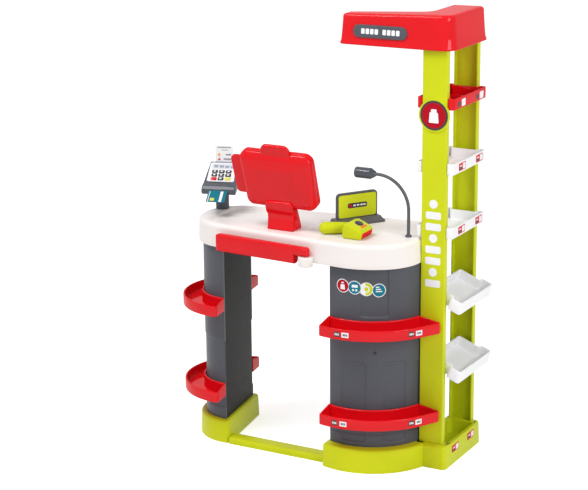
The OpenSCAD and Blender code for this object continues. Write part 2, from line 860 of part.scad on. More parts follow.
module display_panel() {
    color(lime) at_display() translate([-display_w / 2, display_t / 2, 4]) rotate([90, 0, 0]) difference() {
        linear_extrude(display_t) round_square([display_w, display_h + display_base_h - 4], 7);
        translate([0, 0, display_t - 1]) linear_extrude(2) translate([5, display_base_h + 1])
            round_square([display_w - 10, display_h - 10], 4);
    }
}

module mic_collar() {
    color(grey) translate([mic_x, mic_y, counter_z]) difference() {
        cylinder(d = collar_d, h = collar_h);
        translate([0, 0, -1]) cylinder(d = mic_d + 2 * run_fit, h = collar_h + 2);
    }
}

// Stem: straight out of its socket, then a quarter bend towards the counter's middle
module mic_stem() {
    color(grey) translate([mic_x, mic_y, counter_z]) {
        translate([0, 0, gap - socket_depth]) cylinder(d = mic_d, h = mic_rise + socket_depth - gap);
        translate([-mic_bend, 0, mic_rise]) rotate([90, 0, 0]) rotate_extrude(angle = 90)
            translate([mic_bend, 0]) circle(d = mic_d);
        translate([-mic_bend, 0, mic_rise + mic_bend]) rotate([0, -90, 0]) cylinder(d = mic_d, h = mic_neck);
    }
}

module mic_head() {
    r = mic_head_d / 2;
    color(dark) translate([mic_x - mic_bend - mic_neck, mic_y, counter_z + mic_rise + mic_bend])
        rotate([0, -90, 0]) rotate_extrude()
        polygon([[0, 0], [6, 0], [9, 3], [r, 14], [r, mic_head_len - 5],
            [r - 4, mic_head_len], [0, mic_head_len]]);
}

right_base();
left_foot();
floor_bar();
right_cabinet();
right_cabinet_back();
left_cabinet();
left_cabinet_back();
cabinet_screws();
right_shelf_upper();
right_shelf_lower();
left_shelf_upper();
left_shelf_lower();
counter_top();
gate_arm();
gate_pin();
rack_front_panel();
rack_rear_panel();
badge();
rack_shelf_top();
rack_shelf_middle();
rack_shelf_low();
bin_upper();
bin_lower();
canopy();
sign_plate();
monitor_stand();
monitor_casing();
monitor_bezel();
monitor_screen();
reader_post();
reader_body();
reader_keys();
bank_card();
receipt();
scanner_body();
scanner_window();
scanner_button();
display_base();
display_panel();
mic_collar();
mic_stem();
mic_head();
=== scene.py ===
# %% [markdown]
# A play market stall: a white counter on two curved cabinets, a tall lime rack with shelves and bins, a red
# canopy, and the fittings of a till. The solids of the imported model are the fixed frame, and nearly every
# surface made here stands in for one of them. Sizes are in that frame's millimetres, and become metres only
# when a mesh is made. FRONT and SIDE are the upright axes of the two round cabinets.

# %% Load the frame
import bpy
import math
import numpy as np
from mathutils import Matrix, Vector
from mathutils.geometry import convex_hull_2d


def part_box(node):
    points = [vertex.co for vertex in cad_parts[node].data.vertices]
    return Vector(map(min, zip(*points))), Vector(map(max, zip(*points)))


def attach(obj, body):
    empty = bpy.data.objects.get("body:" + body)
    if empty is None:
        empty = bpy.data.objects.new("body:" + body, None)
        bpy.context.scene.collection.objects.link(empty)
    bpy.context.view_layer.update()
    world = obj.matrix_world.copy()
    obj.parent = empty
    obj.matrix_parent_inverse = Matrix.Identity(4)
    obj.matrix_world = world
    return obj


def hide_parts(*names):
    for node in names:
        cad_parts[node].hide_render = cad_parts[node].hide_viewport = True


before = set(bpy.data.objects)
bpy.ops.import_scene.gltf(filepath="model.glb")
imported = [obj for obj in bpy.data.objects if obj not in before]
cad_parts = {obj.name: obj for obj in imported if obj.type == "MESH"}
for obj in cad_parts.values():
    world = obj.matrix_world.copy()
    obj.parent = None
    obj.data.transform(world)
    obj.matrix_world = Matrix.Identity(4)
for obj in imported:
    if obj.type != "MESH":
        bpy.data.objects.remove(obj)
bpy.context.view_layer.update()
MM = 0.001
join = np.concatenate
LOW, HIGH, MIDDLE = range(3)


def solid(name):
    """Rows for a solid's lowest corner, highest corner and middle: its box over a millimetre, rounded."""
    low, high = np.array(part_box(name)) / MM
    return np.round([low, high, (low + high) / 2], 2)


X, Y, Z = np.eye(3)
FRONT, FRONT_R = np.array([139.0, 21.0]), 165.0
SIDE, SIDE_R, SIDE_TURN = np.array([-256.0, -17.0]), 108.0, math.radians(9)
BASE_H, APRON_Z, COUNTER_Z = [solid(name)[HIGH, 2] for name in ("right_base", "right_cabinet", "counter_top")]
print("base, apron and counter heights", BASE_H, APRON_Z, COUNTER_Z)

# %% [markdown]
# The camera comes first, because every later step is judged through it. It could be dragged into place by
# hand, but axes swung by an azimuth, an elevation and a roll say exactly where it looks: from the front and
# the right, a little above the counter, through a long lens.

# %% Camera
AZIMUTH, ELEVATION, ROLL = np.radians([28.87, 15.42, -0.49])
AIM = np.array([122.0, 46.0, 600.0])
ASIDE, BELOW, REACH = 213.53, 13.53, 4947.78
FOCAL_PX, PICTURE_PX, SENSOR = 1800.0, 588.0, 36.0


def swung(a, b, angle):
    """Two square directions turned in their plane: a cos + b sin, and b cos - a sin."""
    c, s = math.cos(angle), math.sin(angle)
    return a * c + b * s, b * c - a * s


def placed(axes, point):
    """Placing matrix: three axes as its columns, then the point."""
    matrix = np.eye(4)
    matrix[:3, :3], matrix[:3, 3] = np.stack(axes, 1), point
    return Matrix(matrix.tolist())


right, ahead = swung(X, Y, AZIMUTH)
back, up = swung(-ahead, Z, ELEVATION)
eye = AIM - ASIDE * right - BELOW * up + REACH * back
camera_data = bpy.data.cameras.new("camera")
camera_data.sensor_width, camera_data.lens = SENSOR, FOCAL_PX * SENSOR / PICTURE_PX
camera_data.clip_end = 50.0
camera = bpy.data.objects.new("camera", camera_data)
camera.matrix_world = placed([*swung(right, up, ROLL), back], eye * MM)
bpy.context.collection.objects.link(camera)
bpy.context.scene.camera = camera
print("camera at", np.round(eye * MM, 3))

# %% [markdown]
# Soft studio light: an even world, a broad lamp high on the left that shapes the forms, a weaker one
# further left for glints on rounded edges, and one from the right. A strong world would look white behind
# the stall but wash out its colours, so only rays that are seen meet a white world, and rays that light the
# stall meet a weaker one.

# %% Light
WHITE, WORLD_LEVEL = (1.0, 1.0, 1.0, 1.0), 0.5


def feed(tree, node, values):
    """Fills a node's inputs: a socket is linked, and any other value becomes the default."""
    for name, value in values.items():
        if isinstance(value, bpy.types.NodeSocket):
            tree.links.new(value, node.inputs[name])
        else:
            node.inputs[name].default_value = value


def add_node(tree, kind, values):
    """A new shader node with its inputs filled."""
    node = tree.nodes.new("ShaderNode" + kind)
    feed(tree, node, values)
    return node


def seen_rays(tree):
    """1 for rays seen straight, in a reflection or through glass, and 0 for light: the three added."""
    rays = tree.nodes.new("ShaderNodeLightPath").outputs
    total = rays["Is Camera Ray"]
    for name in ("Is Glossy Ray", "Is Transmission Ray"):
        add = add_node(tree, "Math", {0: total, 1: rays[name]})
        add.operation, add.use_clamp = "ADD", True
        total = add.outputs[0]
    return total


def lamp(name, place, aim, size, power):
    """A square area lamp at one point, turned to look at another: a level side, their cross and the look."""
    data = bpy.data.lights.new(name, "AREA")
    data.size, data.energy = size, power
    obj = bpy.data.objects.new(name, data)
    look = np.array(place, float) - np.array(aim, float)
    look /= np.linalg.norm(look)
    side = np.cross(Z, look)
    side /= np.linalg.norm(side)
    obj.matrix_world = placed([side, np.cross(look, side), look], place)
    bpy.context.collection.objects.link(obj)
    print(name, power, "W")


bpy.context.scene.view_settings.view_transform = "Standard"
world = bpy.data.worlds.new("studio")
bpy.context.scene.world = world
world.use_nodes = True
sky = world.node_tree
lit = sky.nodes["Background"]
feed(sky, lit, {"Color": WHITE, "Strength": WORLD_LEVEL})
seen = add_node(sky, "Background", {"Color": WHITE, "Strength": 1.0})
swap = add_node(sky, "MixShader", {"Fac": seen_rays(sky), 1: lit.outputs[0], 2: seen.outputs[0]})
feed(sky, sky.nodes["World Output"], {"Surface": swap.outputs[0]})
lamp("key_lamp", (-0.9, -1.7, 4.0), (0, 0, 0.55), 1.5, 64)
lamp("glint_lamp", (-1.93, -2.1, 3.77), (0, 0, 0.6), 0.7, 26)
lamp("fill_lamp", (3.0, -1.1, 2.0), (0, 0, 0.6), 1.4, 44)

# %% [markdown]
# The floor is a sheet of pale studio paper. It glows a little for the rays that are seen, so it meets the
# white background without an edge, and it still takes the stall's soft shadow.

# %% Floor
FLOOR_HALF, FLOOR_GLOW = 9.0, 0.55
floor_mesh = bpy.data.meshes.new("floor")
corners = FLOOR_HALF * np.array([(-1, -1, 0), (1, -1, 0), (1, 1, 0), (-1, 1, 0)])
floor_mesh.from_pydata(corners.tolist(), [], [(0, 1, 2, 3)])
floor = bpy.data.objects.new("floor", floor_mesh)
bpy.context.collection.objects.link(floor)
paper = bpy.data.materials.new("floor_paper")
paper.use_nodes = True
paper_tree = paper.node_tree
paper_shader = paper_tree.nodes["Principled BSDF"]
feed(paper_tree, paper_shader, {"Base Color": (0.93, 0.93, 0.93, 1), "Roughness": 0.9})
dim = add_node(paper_tree, "Math", {0: seen_rays(paper_tree), 1: FLOOR_GLOW})
dim.operation = "MULTIPLY"
glow = add_node(paper_tree, "Emission", {"Strength": dim.outputs[0]})
both = add_node(paper_tree, "AddShader", {0: paper_shader.outputs[0], 1: glow.outputs[0]})
feed(paper_tree, paper_tree.nodes["Material Output"], {"Surface": both.outputs[0]})
floor_mesh.materials.append(paper)
print("floor", 2 * FLOOR_HALF, "m square")

# %% [markdown]
# Moulded plastic is never one flat colour: it drifts where the melt flowed, its sheen changes, and a fine
# texture from the steel mould breaks up reflections. A painted image could show that, but three noises on
# Object coordinates do it at any size. The glossiest plastics have a thin clear coat, which keeps glints
# crisp and the colour deep.


# %% Moulded finish
def linear(srgb):
    """Display colour 0-255 to scene-linear: the standard curve, as an array."""
    c = np.asarray(srgb, float) / 255.0
    return np.where(c <= 0.04045, c / 12.92, ((c + 0.055) / 1.055) ** 2.4)


def moulded(name, srgb, rough=0.34, drift=0.05, grain=0.12, gloss=0.22, coat=0.0, grain_scale=700.0):
    """Plastic: colour between two near tones by a slow noise, sheen by a middle one, bump by a fine one."""
    mat = bpy.data.materials.new(name)
    mat.use_nodes = True
    tree = mat.node_tree
    place = tree.nodes.new("ShaderNodeTexCoord").outputs["Object"]
    noises = [add_node(tree, "TexNoise", {"Vector": place, "Scale": scale, "Detail": detail}).outputs["Fac"]
              for scale, detail in ((7.0, 3.0), (60.0, 4.0), (grain_scale, 2.0))]
    tone = add_node(tree, "ValToRGB", {"Fac": noises[0]})
    for stop, position, way in zip(tone.color_ramp.elements, (0.3, 0.7), (-1, 1)):
        stop.position = position
        stop.color = (*np.clip(linear(srgb) * (1 + way * drift), 0, 1), 1)
    sheen = add_node(tree, "MapRange", {"Value": noises[1], "To Min": rough - 0.06, "To Max": rough + 0.06})
    bump = add_node(tree, "Bump", {"Strength": grain, "Distance": 0.0004, "Height": noises[2]})
    feed(tree, tree.nodes["Principled BSDF"],
         {"Base Color": tone.outputs["Color"], "Roughness": sheen.outputs["Result"],
          "Normal": bump.outputs["Normal"], "IOR": 1.47, "Specular IOR Level": gloss,
          "Coat Weight": coat, "Coat Roughness": 0.05})
    return mat


print("display grey 128 is", np.round(linear(128), 4), "in scene light")

# %% [markdown]
# The finishes differ in colour, gloss and texture: the mouldings first, then the inks and films of the
# prints.

# %% Finishes
lime = moulded("lime_moulding", (204, 212, 28), 0.36, gloss=0.13)
red = moulded("red_moulding", (222, 14, 25), 0.32, gloss=0.0, coat=0.4)
white = moulded("white_moulding", (240, 234, 231), 0.38, 0.02)
snow = moulded("shelf_white_moulding", (242, 242, 244), 0.36, 0.02)
grey = moulded("cabinet_grey_moulding", (82, 85, 92), 0.42, 0.06, 0.2)
dark = moulded("panel_dark_moulding", (35, 34, 33), 0.55, 0.06, 0.25, gloss=0.12)
stem_grey = moulded("stem_grey_moulding", (92, 91, 95), 0.36)
mic_grey = moulded("capsule_grey_moulding", (70, 74, 84), 0.3, gloss=0.0, coat=0.7)
reader_grey = moulded("reader_grey_moulding", (84, 88, 97), 0.36, gloss=0.0, coat=0.5)
paper_white = moulded("printed_paper", (240, 241, 243), 0.62, 0.02, 0.3, grain_scale=1500.0)
teal = moulded("teal_print", (0, 118, 138), 0.3, 0.04)
ink = moulded("dark_ink", (62, 60, 64), 0.4)
orange = moulded("orange_ink", (238, 84, 24), 0.4)
crimson = moulded("crimson_ink", (178, 16, 34), 0.4, gloss=0.1)
amber = moulded("amber_ink", (244, 176, 70), 0.4)
faint = moulded("faint_ink", (150, 153, 162), 0.5)
glass = moulded("screen_glass", (26, 32, 36), 0.16, 0.08, 0.02)
# Painted light: the display face's lime is its real print colour lifted well above the lime mouldings, to
# make up for the face turning away from the key lamp.
display_lime_painted_light = moulded("display_print_painted_light", (226, 236, 40), 0.4, grain=0.05, gloss=0.15)
pale_lime = moulded("key_print", (226, 222, 96), 0.4, 0.04)
readout = moulded("readout_film", (208, 212, 222), 0.25, 0.03, 0.03)
print("finishes", len(bpy.data.materials))

# %% [markdown]
# Most pieces are mouldings with an even wall, so one idea makes nearly all of them: a closed outline is
# pushed in or out and lifted, step by step, along a small profile. A Bevel modifier on a box could make the
# simplest, but an outline also follows arcs, and a profile also leans and turns back inside. Outlines run
# counter-clockwise, seen against the lift.


# %% Outlines
def fillet(points, radii, step=1.6):
    """Closed outline: each corner becomes the arc that touches both its sides, swung from touch to touch."""
    pts = np.asarray(points, float)
    radii = np.broadcast_to(np.asarray(radii, float), len(pts))
    out = []
    for before, p, after, r in zip(np.roll(pts, 1, 0), pts, np.roll(pts, -1, 0), radii):
        if r <= 0:
            out.append(p[None])
            continue
        a = (before - p) / np.linalg.norm(before - p)
        b = (after - p) / np.linalg.norm(after - p)
        half = 0.5 * math.acos(float(np.clip(a @ b, -1, 1)))
        sweep = math.pi - 2 * half
        centre = p + (a + b) / np.linalg.norm(a + b) * r / math.sin(half)
        start, end = p + a * r / math.tan(half) - centre, p + b * r / math.tan(half) - centre
        w = np.linspace(0, 1, max(4, int(r * sweep / step)))[:, None]
        out.append(centre + (np.sin((1 - w) * sweep) * start + np.sin(w * sweep) * end) / math.sin(sweep))
    return join(out)


def block(x0, y0, x1, y1, r):
    """Outline of a rectangle with rounded corners."""
    return fillet([(x0, y0), (x1, y0), (x1, y1), (x0, y1)], r)


def bow(centre, r, a0, a1, count, trim=(0.0, 0.0)):
    """Points of an arc about a centre, its ends kept and the rest held off them by the trims, in degrees."""
    a = np.radians(np.r_[a0, np.linspace(a0 + trim[0], a1 - trim[1], count), a1])
    if trim == (0.0, 0.0):
        a = a[1:-1]
    return np.asarray(centre) + r * np.stack([np.cos(a), np.sin(a)], 1)


print("a 40 by 20 block with 5 mm corners has", len(block(0, 0, 40, 20, 5)), "points")

# %% [markdown]
# A profile is a short list of steps outwards and upwards. Carrying an outline along it gives a stack of
# rings, one for each step. Two profiles serve most pieces: a solid block and a tray.


# %% Profiles and rings
def outward(o):
    """Way out at each point: the normals of its two sides added, stretched so that both sides move by 1."""
    e = np.roll(o, -1, 0) - o
    e = e / np.linalg.norm(e, axis=1, keepdims=True)
    n2 = np.stack([e[:, 1], -e[:, 0]], 1)
    n1 = np.roll(n2, 1, 0)
    return (n1 + n2) / (1 + (n1 * n2).sum(1, keepdims=True))


def carry(outline, profile):
    """Rings: the outline pushed out by the profile's first column and lifted to its second."""
    off, lift = np.asarray(profile, float).T
    flat = outline[None] + outward(outline)[None] * off[:, None, None]
    return join([flat, np.broadcast_to(lift[:, None, None], flat.shape[:2] + (1,))], 2)


def curve(cx, cz, r, a0, a1, count=5):
    """Points of a profile's small arc, in degrees from the outward side."""
    a = np.radians(np.linspace(a0, a1, count))
    return np.stack([cx + r * np.cos(a), cz + r * np.sin(a)], 1)


def solid_edge(z0, z1, r0, r1, draft=0.0):
    """Profile of a solid moulding: rounded foot, wall drawn in by the draft, rounded top."""
    return join([curve(-r0, z0 + r0, r0, -90, 0), curve(-draft - r1, z1 - r1, r1, 0, 90)])


def tray_edge(z0, z1, wall, r):
    """Profile of a tray: rounded foot, outer wall, half-round rim, inner wall, hollow corner and floor."""
    rim = wall / 2
    return join([curve(-r, z0 + r, r, -90, 0), curve(-rim, z1 - rim, rim, 0, 180, 7),
                 curve(-wall - r, z0 + wall + r, r, 0, -90)])


print("a tray's profile has", len(tray_edge(0, 30, 5, 1.5)), "steps")

# %% [markdown]
# A skin joins neighbouring rings with quads and closes both ends. Pieces that lie or lean are laid along
# three directions of their own. Smooth shading, broken only past a crease angle, lets the rounded edges
# catch the light.


# %% Skins and pieces
CREASE = math.radians(38)


def skin(rings, first):
    """Quads between neighbouring rings and a face on both ends, with the points counted on from first."""
    m, n = rings.shape[:2]
    i, j = np.meshgrid(np.arange(m - 1), np.arange(n), indexing="ij")
    k = (j + 1) % n
    quads = np.stack([i * n + j, i * n + k, (i + 1) * n + k, (i + 1) * n + j], -1).reshape(-1, 4)
    ends = [np.arange(n)[::-1], (m - 1) * n + np.arange(n)]
    return (quads + first).tolist() + [(end + first).tolist() for end in ends]


def lay(rings, origin, ea, eb, eh):
    """Puts an outline's two directions and its lift along three given directions from an origin."""
    return np.asarray(origin, float) + rings @ np.stack([ea, eb, eh]).astype(float)


def slab(outline, place, z0, z1, r0, r1, draft=0.0):
    """A solid moulding of an outline, laid along its place: an origin and three directions."""
    return lay(carry(outline, solid_edge(z0, z1, r0, r1, draft)), *place)


def piece(name, parts, finish, slot, replaced=None, body="stall"):
    """One object from several stacks of rings, in metres, smooth but for edges sharper than the crease."""
    faces, count = [], 0
    for rings in parts:
        faces += skin(rings, count)
        count += rings.shape[0] * rings.shape[1]
    points = join([rings.reshape(-1, 3) for rings in parts])
    mesh = bpy.data.meshes.new(name)
    mesh.from_pydata((points * MM).tolist(), [], faces)
    mesh.polygons.foreach_set("use_smooth", np.ones(len(mesh.polygons), bool))
    mesh.set_sharp_from_angle(angle=CREASE)
    mesh.materials.append(finish)
    obj = bpy.data.objects.new(name, mesh)
    bpy.context.collection.objects.link(obj)
    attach(obj, body)
    if replaced:
        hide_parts(replaced)
    print(name, count, "points")


# %% [markdown]
# The bases are blow-moulded boxes: their sides lean in a little towards the top and every edge is round.
# The rack's base has a bin let into it. A Boolean could cut it out, but rings that step inwards to a second
# outline and down make it in one surface.

# %% Front base
PLINTH_R, PLINTH_BACK, BASE_CORNER = FRONT_R + 30, 76.0, 12.0
WELL_FLOOR, WELL_R = 26.0, 4.0
base_low, base_high, _ = solid("right_base")
base_edge = solid_edge(0, BASE_H, 1.5, 8, 2)
plinth_arc = bow(FRONT, PLINTH_R, -109.8, -9, 70, (4, 1))
plinth = fillet(join([[(base_low[0], PLINTH_BACK)], plinth_arc, [(331, PLINTH_BACK)]]),
                np.r_[BASE_CORNER, 14, np.zeros(71), BASE_CORNER])
rack_outer = block(288, -42, *base_high[:2], BASE_CORNER)
rack_inner = block(307, -1, 385, 175, BASE_CORNER)
well = join([curve(WELL_R, BASE_H - WELL_R, WELL_R, 90, 180),
             curve(-WELL_R, WELL_FLOOR + WELL_R, WELL_R, 0, -90)])
rack_base = join([carry(rack_outer, base_edge), carry(rack_inner, well)])
piece("bases_moulding", [carry(plinth, base_edge), rack_base], lime, "lime_plastic", "right_base")

# %% [markdown]
# The side cabinet and its foot are turned a little, so they are drawn about their own upright axis and
# turned together. A flat bar on the floor keeps the bases apart: its section is carried along, and its near
# end is cut along the foot.


# %% Side foot and floor bar
FOOT_R, BAR_STATIONS = SIDE_R + 17, 12
BAR_NEAR, BAR_CUT, BAR_GAP = -234.0, 0.158, 0.2


def turned(rings, angle=SIDE_TURN, origin=SIDE):
    """Rings turned about the upright through a point of the plan."""
    return lay(rings, (*origin, 0), *swung(X, Y, angle), Z)


foot = fillet(bow((0, 0), FOOT_R, 89.1, 270.9, 70, (6, 6)), np.r_[BASE_CORNER, np.zeros(70), BASE_CORNER])
piece("side_foot_moulding", [turned(carry(foot, base_edge))], lime, "lime_plastic", "left_foot")
(_, y0, z0), (bar_end, y1, z1), _ = solid("floor_bar")
bar_section = fillet([(y0, z0), (y1, z0), (y1, z1), (y0, z1)], [1, 1, 6, 9], 1.0)
near = BAR_NEAR - (bar_section[:, 0] - y0) * BAR_CUT
bar_x = near + (bar_end - BAR_GAP - near) * np.linspace(0, 1, BAR_STATIONS)[:, None]
bar_yz = np.broadcast_to(bar_section, (BAR_STATIONS,) + bar_section.shape)
bar = join([bar_x[..., None], bar_yz], 2)
piece("floor_bar_moulding", [bar], lime, "lime_plastic", "floor_bar")

# %% [markdown]
# The cabinets' curved faces carry shallow pressed panels. They could be sculpted, but a formula keeps their
# edges even: the face is a grid of place along the outline and height, pushed in wherever a soft-edged
# rounded rectangle says so.


# %% Pressed walls
PRESS_SOFT = 1.6


def soft_step(x, soft):
    """0 to 1 as x goes from -soft to soft: three t squared less two t cubed."""
    t = np.clip(0.5 + np.asarray(x) / (2 * soft), 0, 1)
    return t * t * (3 - 2 * t)


def sunk(u, v, u0, u1, v0, v1, r, soft):
    """1 inside a rounded rectangle and 0 outside: its distance from the edge through the soft step."""
    dx = np.abs(u - (u0 + u1) / 2) - ((u1 - u0) / 2 - r)
    dy = np.abs(v - (v0 + v1) / 2) - ((v1 - v0) / 2 - r)
    d = np.hypot(np.maximum(dx, 0), np.maximum(dy, 0)) + np.minimum(np.maximum(dx, dy), 0) - r
    return soft_step(-d, soft)


def pressed(u, v, panels):
    """Depths of the panels (u0, u1, z0, z1, corner, depth) at a place along the face and a height, added."""
    return sum(p[5] * sunk(u, v, *p[:5], PRESS_SOFT) for p in panels)


def pressed_wall(outline, place, panels, rows=260):
    """Rings of an upright wall from the base to the apron, pushed in by the panels."""
    u, v = np.meshgrid(place, np.linspace(BASE_H, APRON_Z, rows))
    flat = outline[None] - outward(outline)[None] * pressed(u, v, panels)[..., None]
    return join([flat, v[..., None]], 2)


def along(line, centre, r, mid):
    """Place along an arc, as a length from its middle angle in degrees; points off the arc lie far away."""
    a = np.arctan2(line[:, 1] - centre[1], line[:, 0] - centre[0]) - math.radians(mid)
    a = (a + math.pi) % (2 * math.pi) - math.pi
    return np.where(np.abs(np.hypot(*(line - np.asarray(centre)).T) - r) < 1, r * a, 1e4)


print("half way down a pressed edge the depth is", float(soft_step(0, PRESS_SOFT)), "of the whole")

# %% [markdown]
# Both cabinets have a tall niche under the counter, a band round the lower half and a screw hole, and the
# front one has two more panels low down. Behind each, a dark flat panel is let into a recess of the
# outline.

# %% Cabinets
FACE_MID, PANEL_T = -62.0, 4.0
BAND = (-400, 400, 100, 299, 1, 1.8)
SCREW_HOLE = (-4.5, 4.5, *solid("cabinet_screws")[:MIDDLE, 2], 4.4, 3.5)
front_panels = [(-37, 37, 437, 590, 6, 3.2), BAND, (-96, -24, 80, 309, 12, 3.0), (24, 90, 80, 309, 12, 3.0),
                SCREW_HOLE]
side_panels = [(-37, 37, 437, 590, 6, 3.0), BAND, SCREW_HOLE]
front_recess = [(301.6, 61), (293, 61), (293, 56.6), (91, 56.6), (91, 61)]
front_arc = bow(FRONT, FRONT_R, -109.1, -9.8, 150, (1.8, 0.7))
front_wall = fillet(join([[(85, 61)], front_arc, front_recess]), np.r_[0, 5, np.zeros(156)])
front_shell = pressed_wall(front_wall, along(front_wall, FRONT, FRONT_R, FACE_MID), front_panels)
piece("front_cabinet_shell", [front_shell], grey, "grey_plastic", "right_cabinet")
side_recess = [(-13, -100.9), (-17.4, -100.9), (-17.4, 100.9), (-13, 100.9)]
side_wall = join([bow((0, 0), SIDE_R, 96.9, 263.1, 120), side_recess])
side_shell = pressed_wall(side_wall, along(side_wall, (0, 0), SIDE_R, 180), side_panels)
piece("side_cabinet_shell", [turned(side_shell)], grey, "grey_plastic", "left_cabinet")
side_inset = slab(block(-100.2, BASE_H, 100.2, APRON_Z, 3), (-17 * X, Y, Z, X), 0, PANEL_T, 0.4, 0.8)
piece("side_cabinet_panel", [turned(side_inset)], dark, "dark_plastic", "left_cabinet_back")
front_inset = slab(block(-292.6, BASE_H + 0.2, -91.3, APRON_Z - 0.2, 3), (57 * Y, -X, Z, Y),
                   0, PANEL_T, 0.4, 0.8)
piece("front_cabinet_panel", [front_inset], dark, "dark_plastic", "right_cabinet_back")

# %% [markdown]
# The curved shelves are trays that hang round the cabinets, cut rings whose wall along the cabinet is
# higher than the lip. A second profile could make that wall, but it is enough to multiply the height over
# the floor by a factor of each outline point.

# %% Curved shelves
LIP_R, LIP_H, SHELF_T, SHELF_GAP = 224.3, 30.0, 5.0, 0.5


def lipped(line, centre, r0, z0):
    """Rings of a tray whose wall is 1.4 times as high within 3 mm of the inner arc."""
    rings = carry(line, tray_edge(z0, z0 + LIP_H, SHELF_T, 1.5))
    factor = 1 + 0.4 * soft_step(r0 + 3 - np.hypot(*(line - np.asarray(centre)).T), 2)
    rings[..., 2] += np.maximum(rings[..., 2] - z0 - SHELF_T, 0) * (factor - 1)
    return rings


right_inner, left_inner = FRONT_R + SHELF_GAP, SIDE_R + SHELF_GAP
right_line = fillet(join([bow(FRONT, LIP_R, -104.4, -28, 90, (2.4, 0.6)), [(370.8, -22.4)],
                          bow(FRONT, right_inner, -15.2, -109.7, 60, (-3, -3))]),
                    np.r_[8, np.zeros(91), 10, np.zeros(62)])
left_line = fillet(join([bow((0, 0), SIDE_R + 60, 94.5, 265.5, 90, (3.4, 3.4)),
                         bow((0, 0), left_inner, 263.1, 96.9, 60, (-4, -4))]),
                   np.r_[8, np.zeros(90), 8, np.zeros(62)])
for level in ("upper", "lower"):
    z0 = solid(f"right_shelf_{level}")[LOW, 2]
    right_tray = lipped(right_line, FRONT, right_inner, z0)
    left_tray = turned(lipped(left_line, (0, 0), left_inner, z0))
    piece(f"right_{level}_tray", [right_tray], red, "red_plastic", f"right_shelf_{level}")
    piece(f"left_{level}_tray", [left_tray], red, "red_plastic", f"left_shelf_{level}")

# %% [markdown]
# The counter's plan is the tight band round a few discs: a large round end on the left, a broad bulge on
# the right and a small corner at the back. Its top could be one flat face, but a fan of rings to one point
# lets trays be sunk into it, as a height that depends on the place.

# %% Counter plan and top
TRAY_R, TRAY_DEPTH, BED_DEPTH = 96.0, 7.0, 3.0
COIN_TRAYS, COIN_PITCH = 3, 36.0
SIDE_END_R, BULGE_R, BULGE_OUT = SIDE_R + 12, 130.0, 55.0


def disc(x, y, r, count=40):
    """Outline of a disc."""
    t = np.linspace(0, 2 * math.pi, count, endpoint=False)
    return np.stack([x + r * np.cos(t), y + r * np.sin(t)], 1)


def band(discs, count):
    """Convex outline round a set of discs, sampled evenly along its length."""
    cloud = join([disc(x, y, r, 240) for x, y, r in discs])
    hull = cloud[convex_hull_2d([tuple(p) for p in cloud])]
    x, y = hull.T
    if np.sum(x * np.roll(y, -1) - y * np.roll(x, -1)) < 0:
        hull = hull[::-1]
    loop = join([hull, hull[:1]])
    s = np.r_[0, np.cumsum(np.hypot(*np.diff(loop, axis=0).T))]
    w = np.linspace(0, s[-1], count, endpoint=False)
    return np.stack([np.interp(w, s, loop[:, 0]), np.interp(w, s, loop[:, 1])], 1)


def top_height(x, y):
    """Height of the counter's top: level, less the depths of the round tray, the coin trays and the bed."""
    from_side = np.hypot(x - SIDE[0], y - SIDE[1])
    z = COUNTER_Z - TRAY_DEPTH * soft_step(TRAY_R - from_side, 2.5) * soft_step(x + 318, 2.5)
    for k in range(COIN_TRAYS):
        z = z - TRAY_DEPTH * sunk(x, y, -148, -122, COIN_PITCH * k - 51, COIN_PITCH * k - 21, 5, 2)
    return z - BED_DEPTH * sunk(x, y, -24, 24, -75, 43, 6, 2)


def fan(ring, hub, count, height=None):
    """Rings from an outline in to a hub, at the height of each place or else at the outline's own."""
    w = np.linspace(1, 0.01, count)[1:, None, None]
    flat = np.asarray(hub) + (ring[None, :, :2] - np.asarray(hub)) * w
    lift = height(flat[..., 0], flat[..., 1]) if height else np.full(flat.shape[:2], ring[0, 2])
    return join([flat, lift[..., None]], 2)


bulge = np.radians([-102, -90, -78, -66, -53.5])
bulge_xy = FRONT + BULGE_OUT * np.stack([np.cos(bulge), np.sin(bulge)], 1)
plan = band([(*SIDE, SIDE_END_R), (271.7, 138.0, 30.0)] + [(x, y, BULGE_R) for x, y in bulge_xy], 420)
print("counter plan", np.round(np.ptp(plan, axis=0), 1), "mm")

# %% [markdown]
# The apron flares at its foot and rolls over into the top. The gate hangs on a short round boss under the
# front edge, which is turned like a pot: a profile of radius and height is swung once round.

# %% Counter and boss
EDGE_R, TOP_RINGS = 12.0, 130
BOSS_R, BOSS_SOFT, BOSS_HIGH = 20.0, 2.5, 594.7
PIVOT = solid("gate_pin")[MIDDLE] * [1, 1, 0]
boss_low = solid("gate_pin")[LOW, 2]


def lathe(profile, count=64):
    """Rings of a turned piece: each profile point (radius, height) swung once round the upright."""
    r, h = np.asarray(profile, float).T
    t = np.linspace(0, 2 * math.pi, count, endpoint=False)
    lift = np.broadcast_to(h[:, None], (len(r), count))
    return np.stack([r[:, None] * np.cos(t), r[:, None] * np.sin(t), lift], 2)


apron = join([[(-6, 627), (-6, 600), (-4, APRON_Z + 1)], curve(-2, APRON_Z + 2, 2, -90, 0),
              [(-0.2, 588), (-1.0, 606), (-1.4, 622)],
              curve(-1.4 - EDGE_R, COUNTER_Z - EDGE_R, EDGE_R, 0, 90, 8)])
apron_rings = carry(plan, apron)
counter = join([apron_rings, fan(apron_rings[-1], (-30, -20), TOP_RINGS, top_height)])
boss = lathe(solid_edge(boss_low, BOSS_HIGH, BOSS_SOFT, BOSS_SOFT) + [BOSS_R, 0])
piece("counter_moulding", [counter, boss + PIVOT], white, "white_plastic", "counter_top")

# %% [markdown]
# The gate is a bar that ends in a round nose over its boss. A stretched cylinder could stand for it, but a
# rounded rectangle carried along it narrows at both ends like a half circle, and lifts its lower edge over
# the boss.

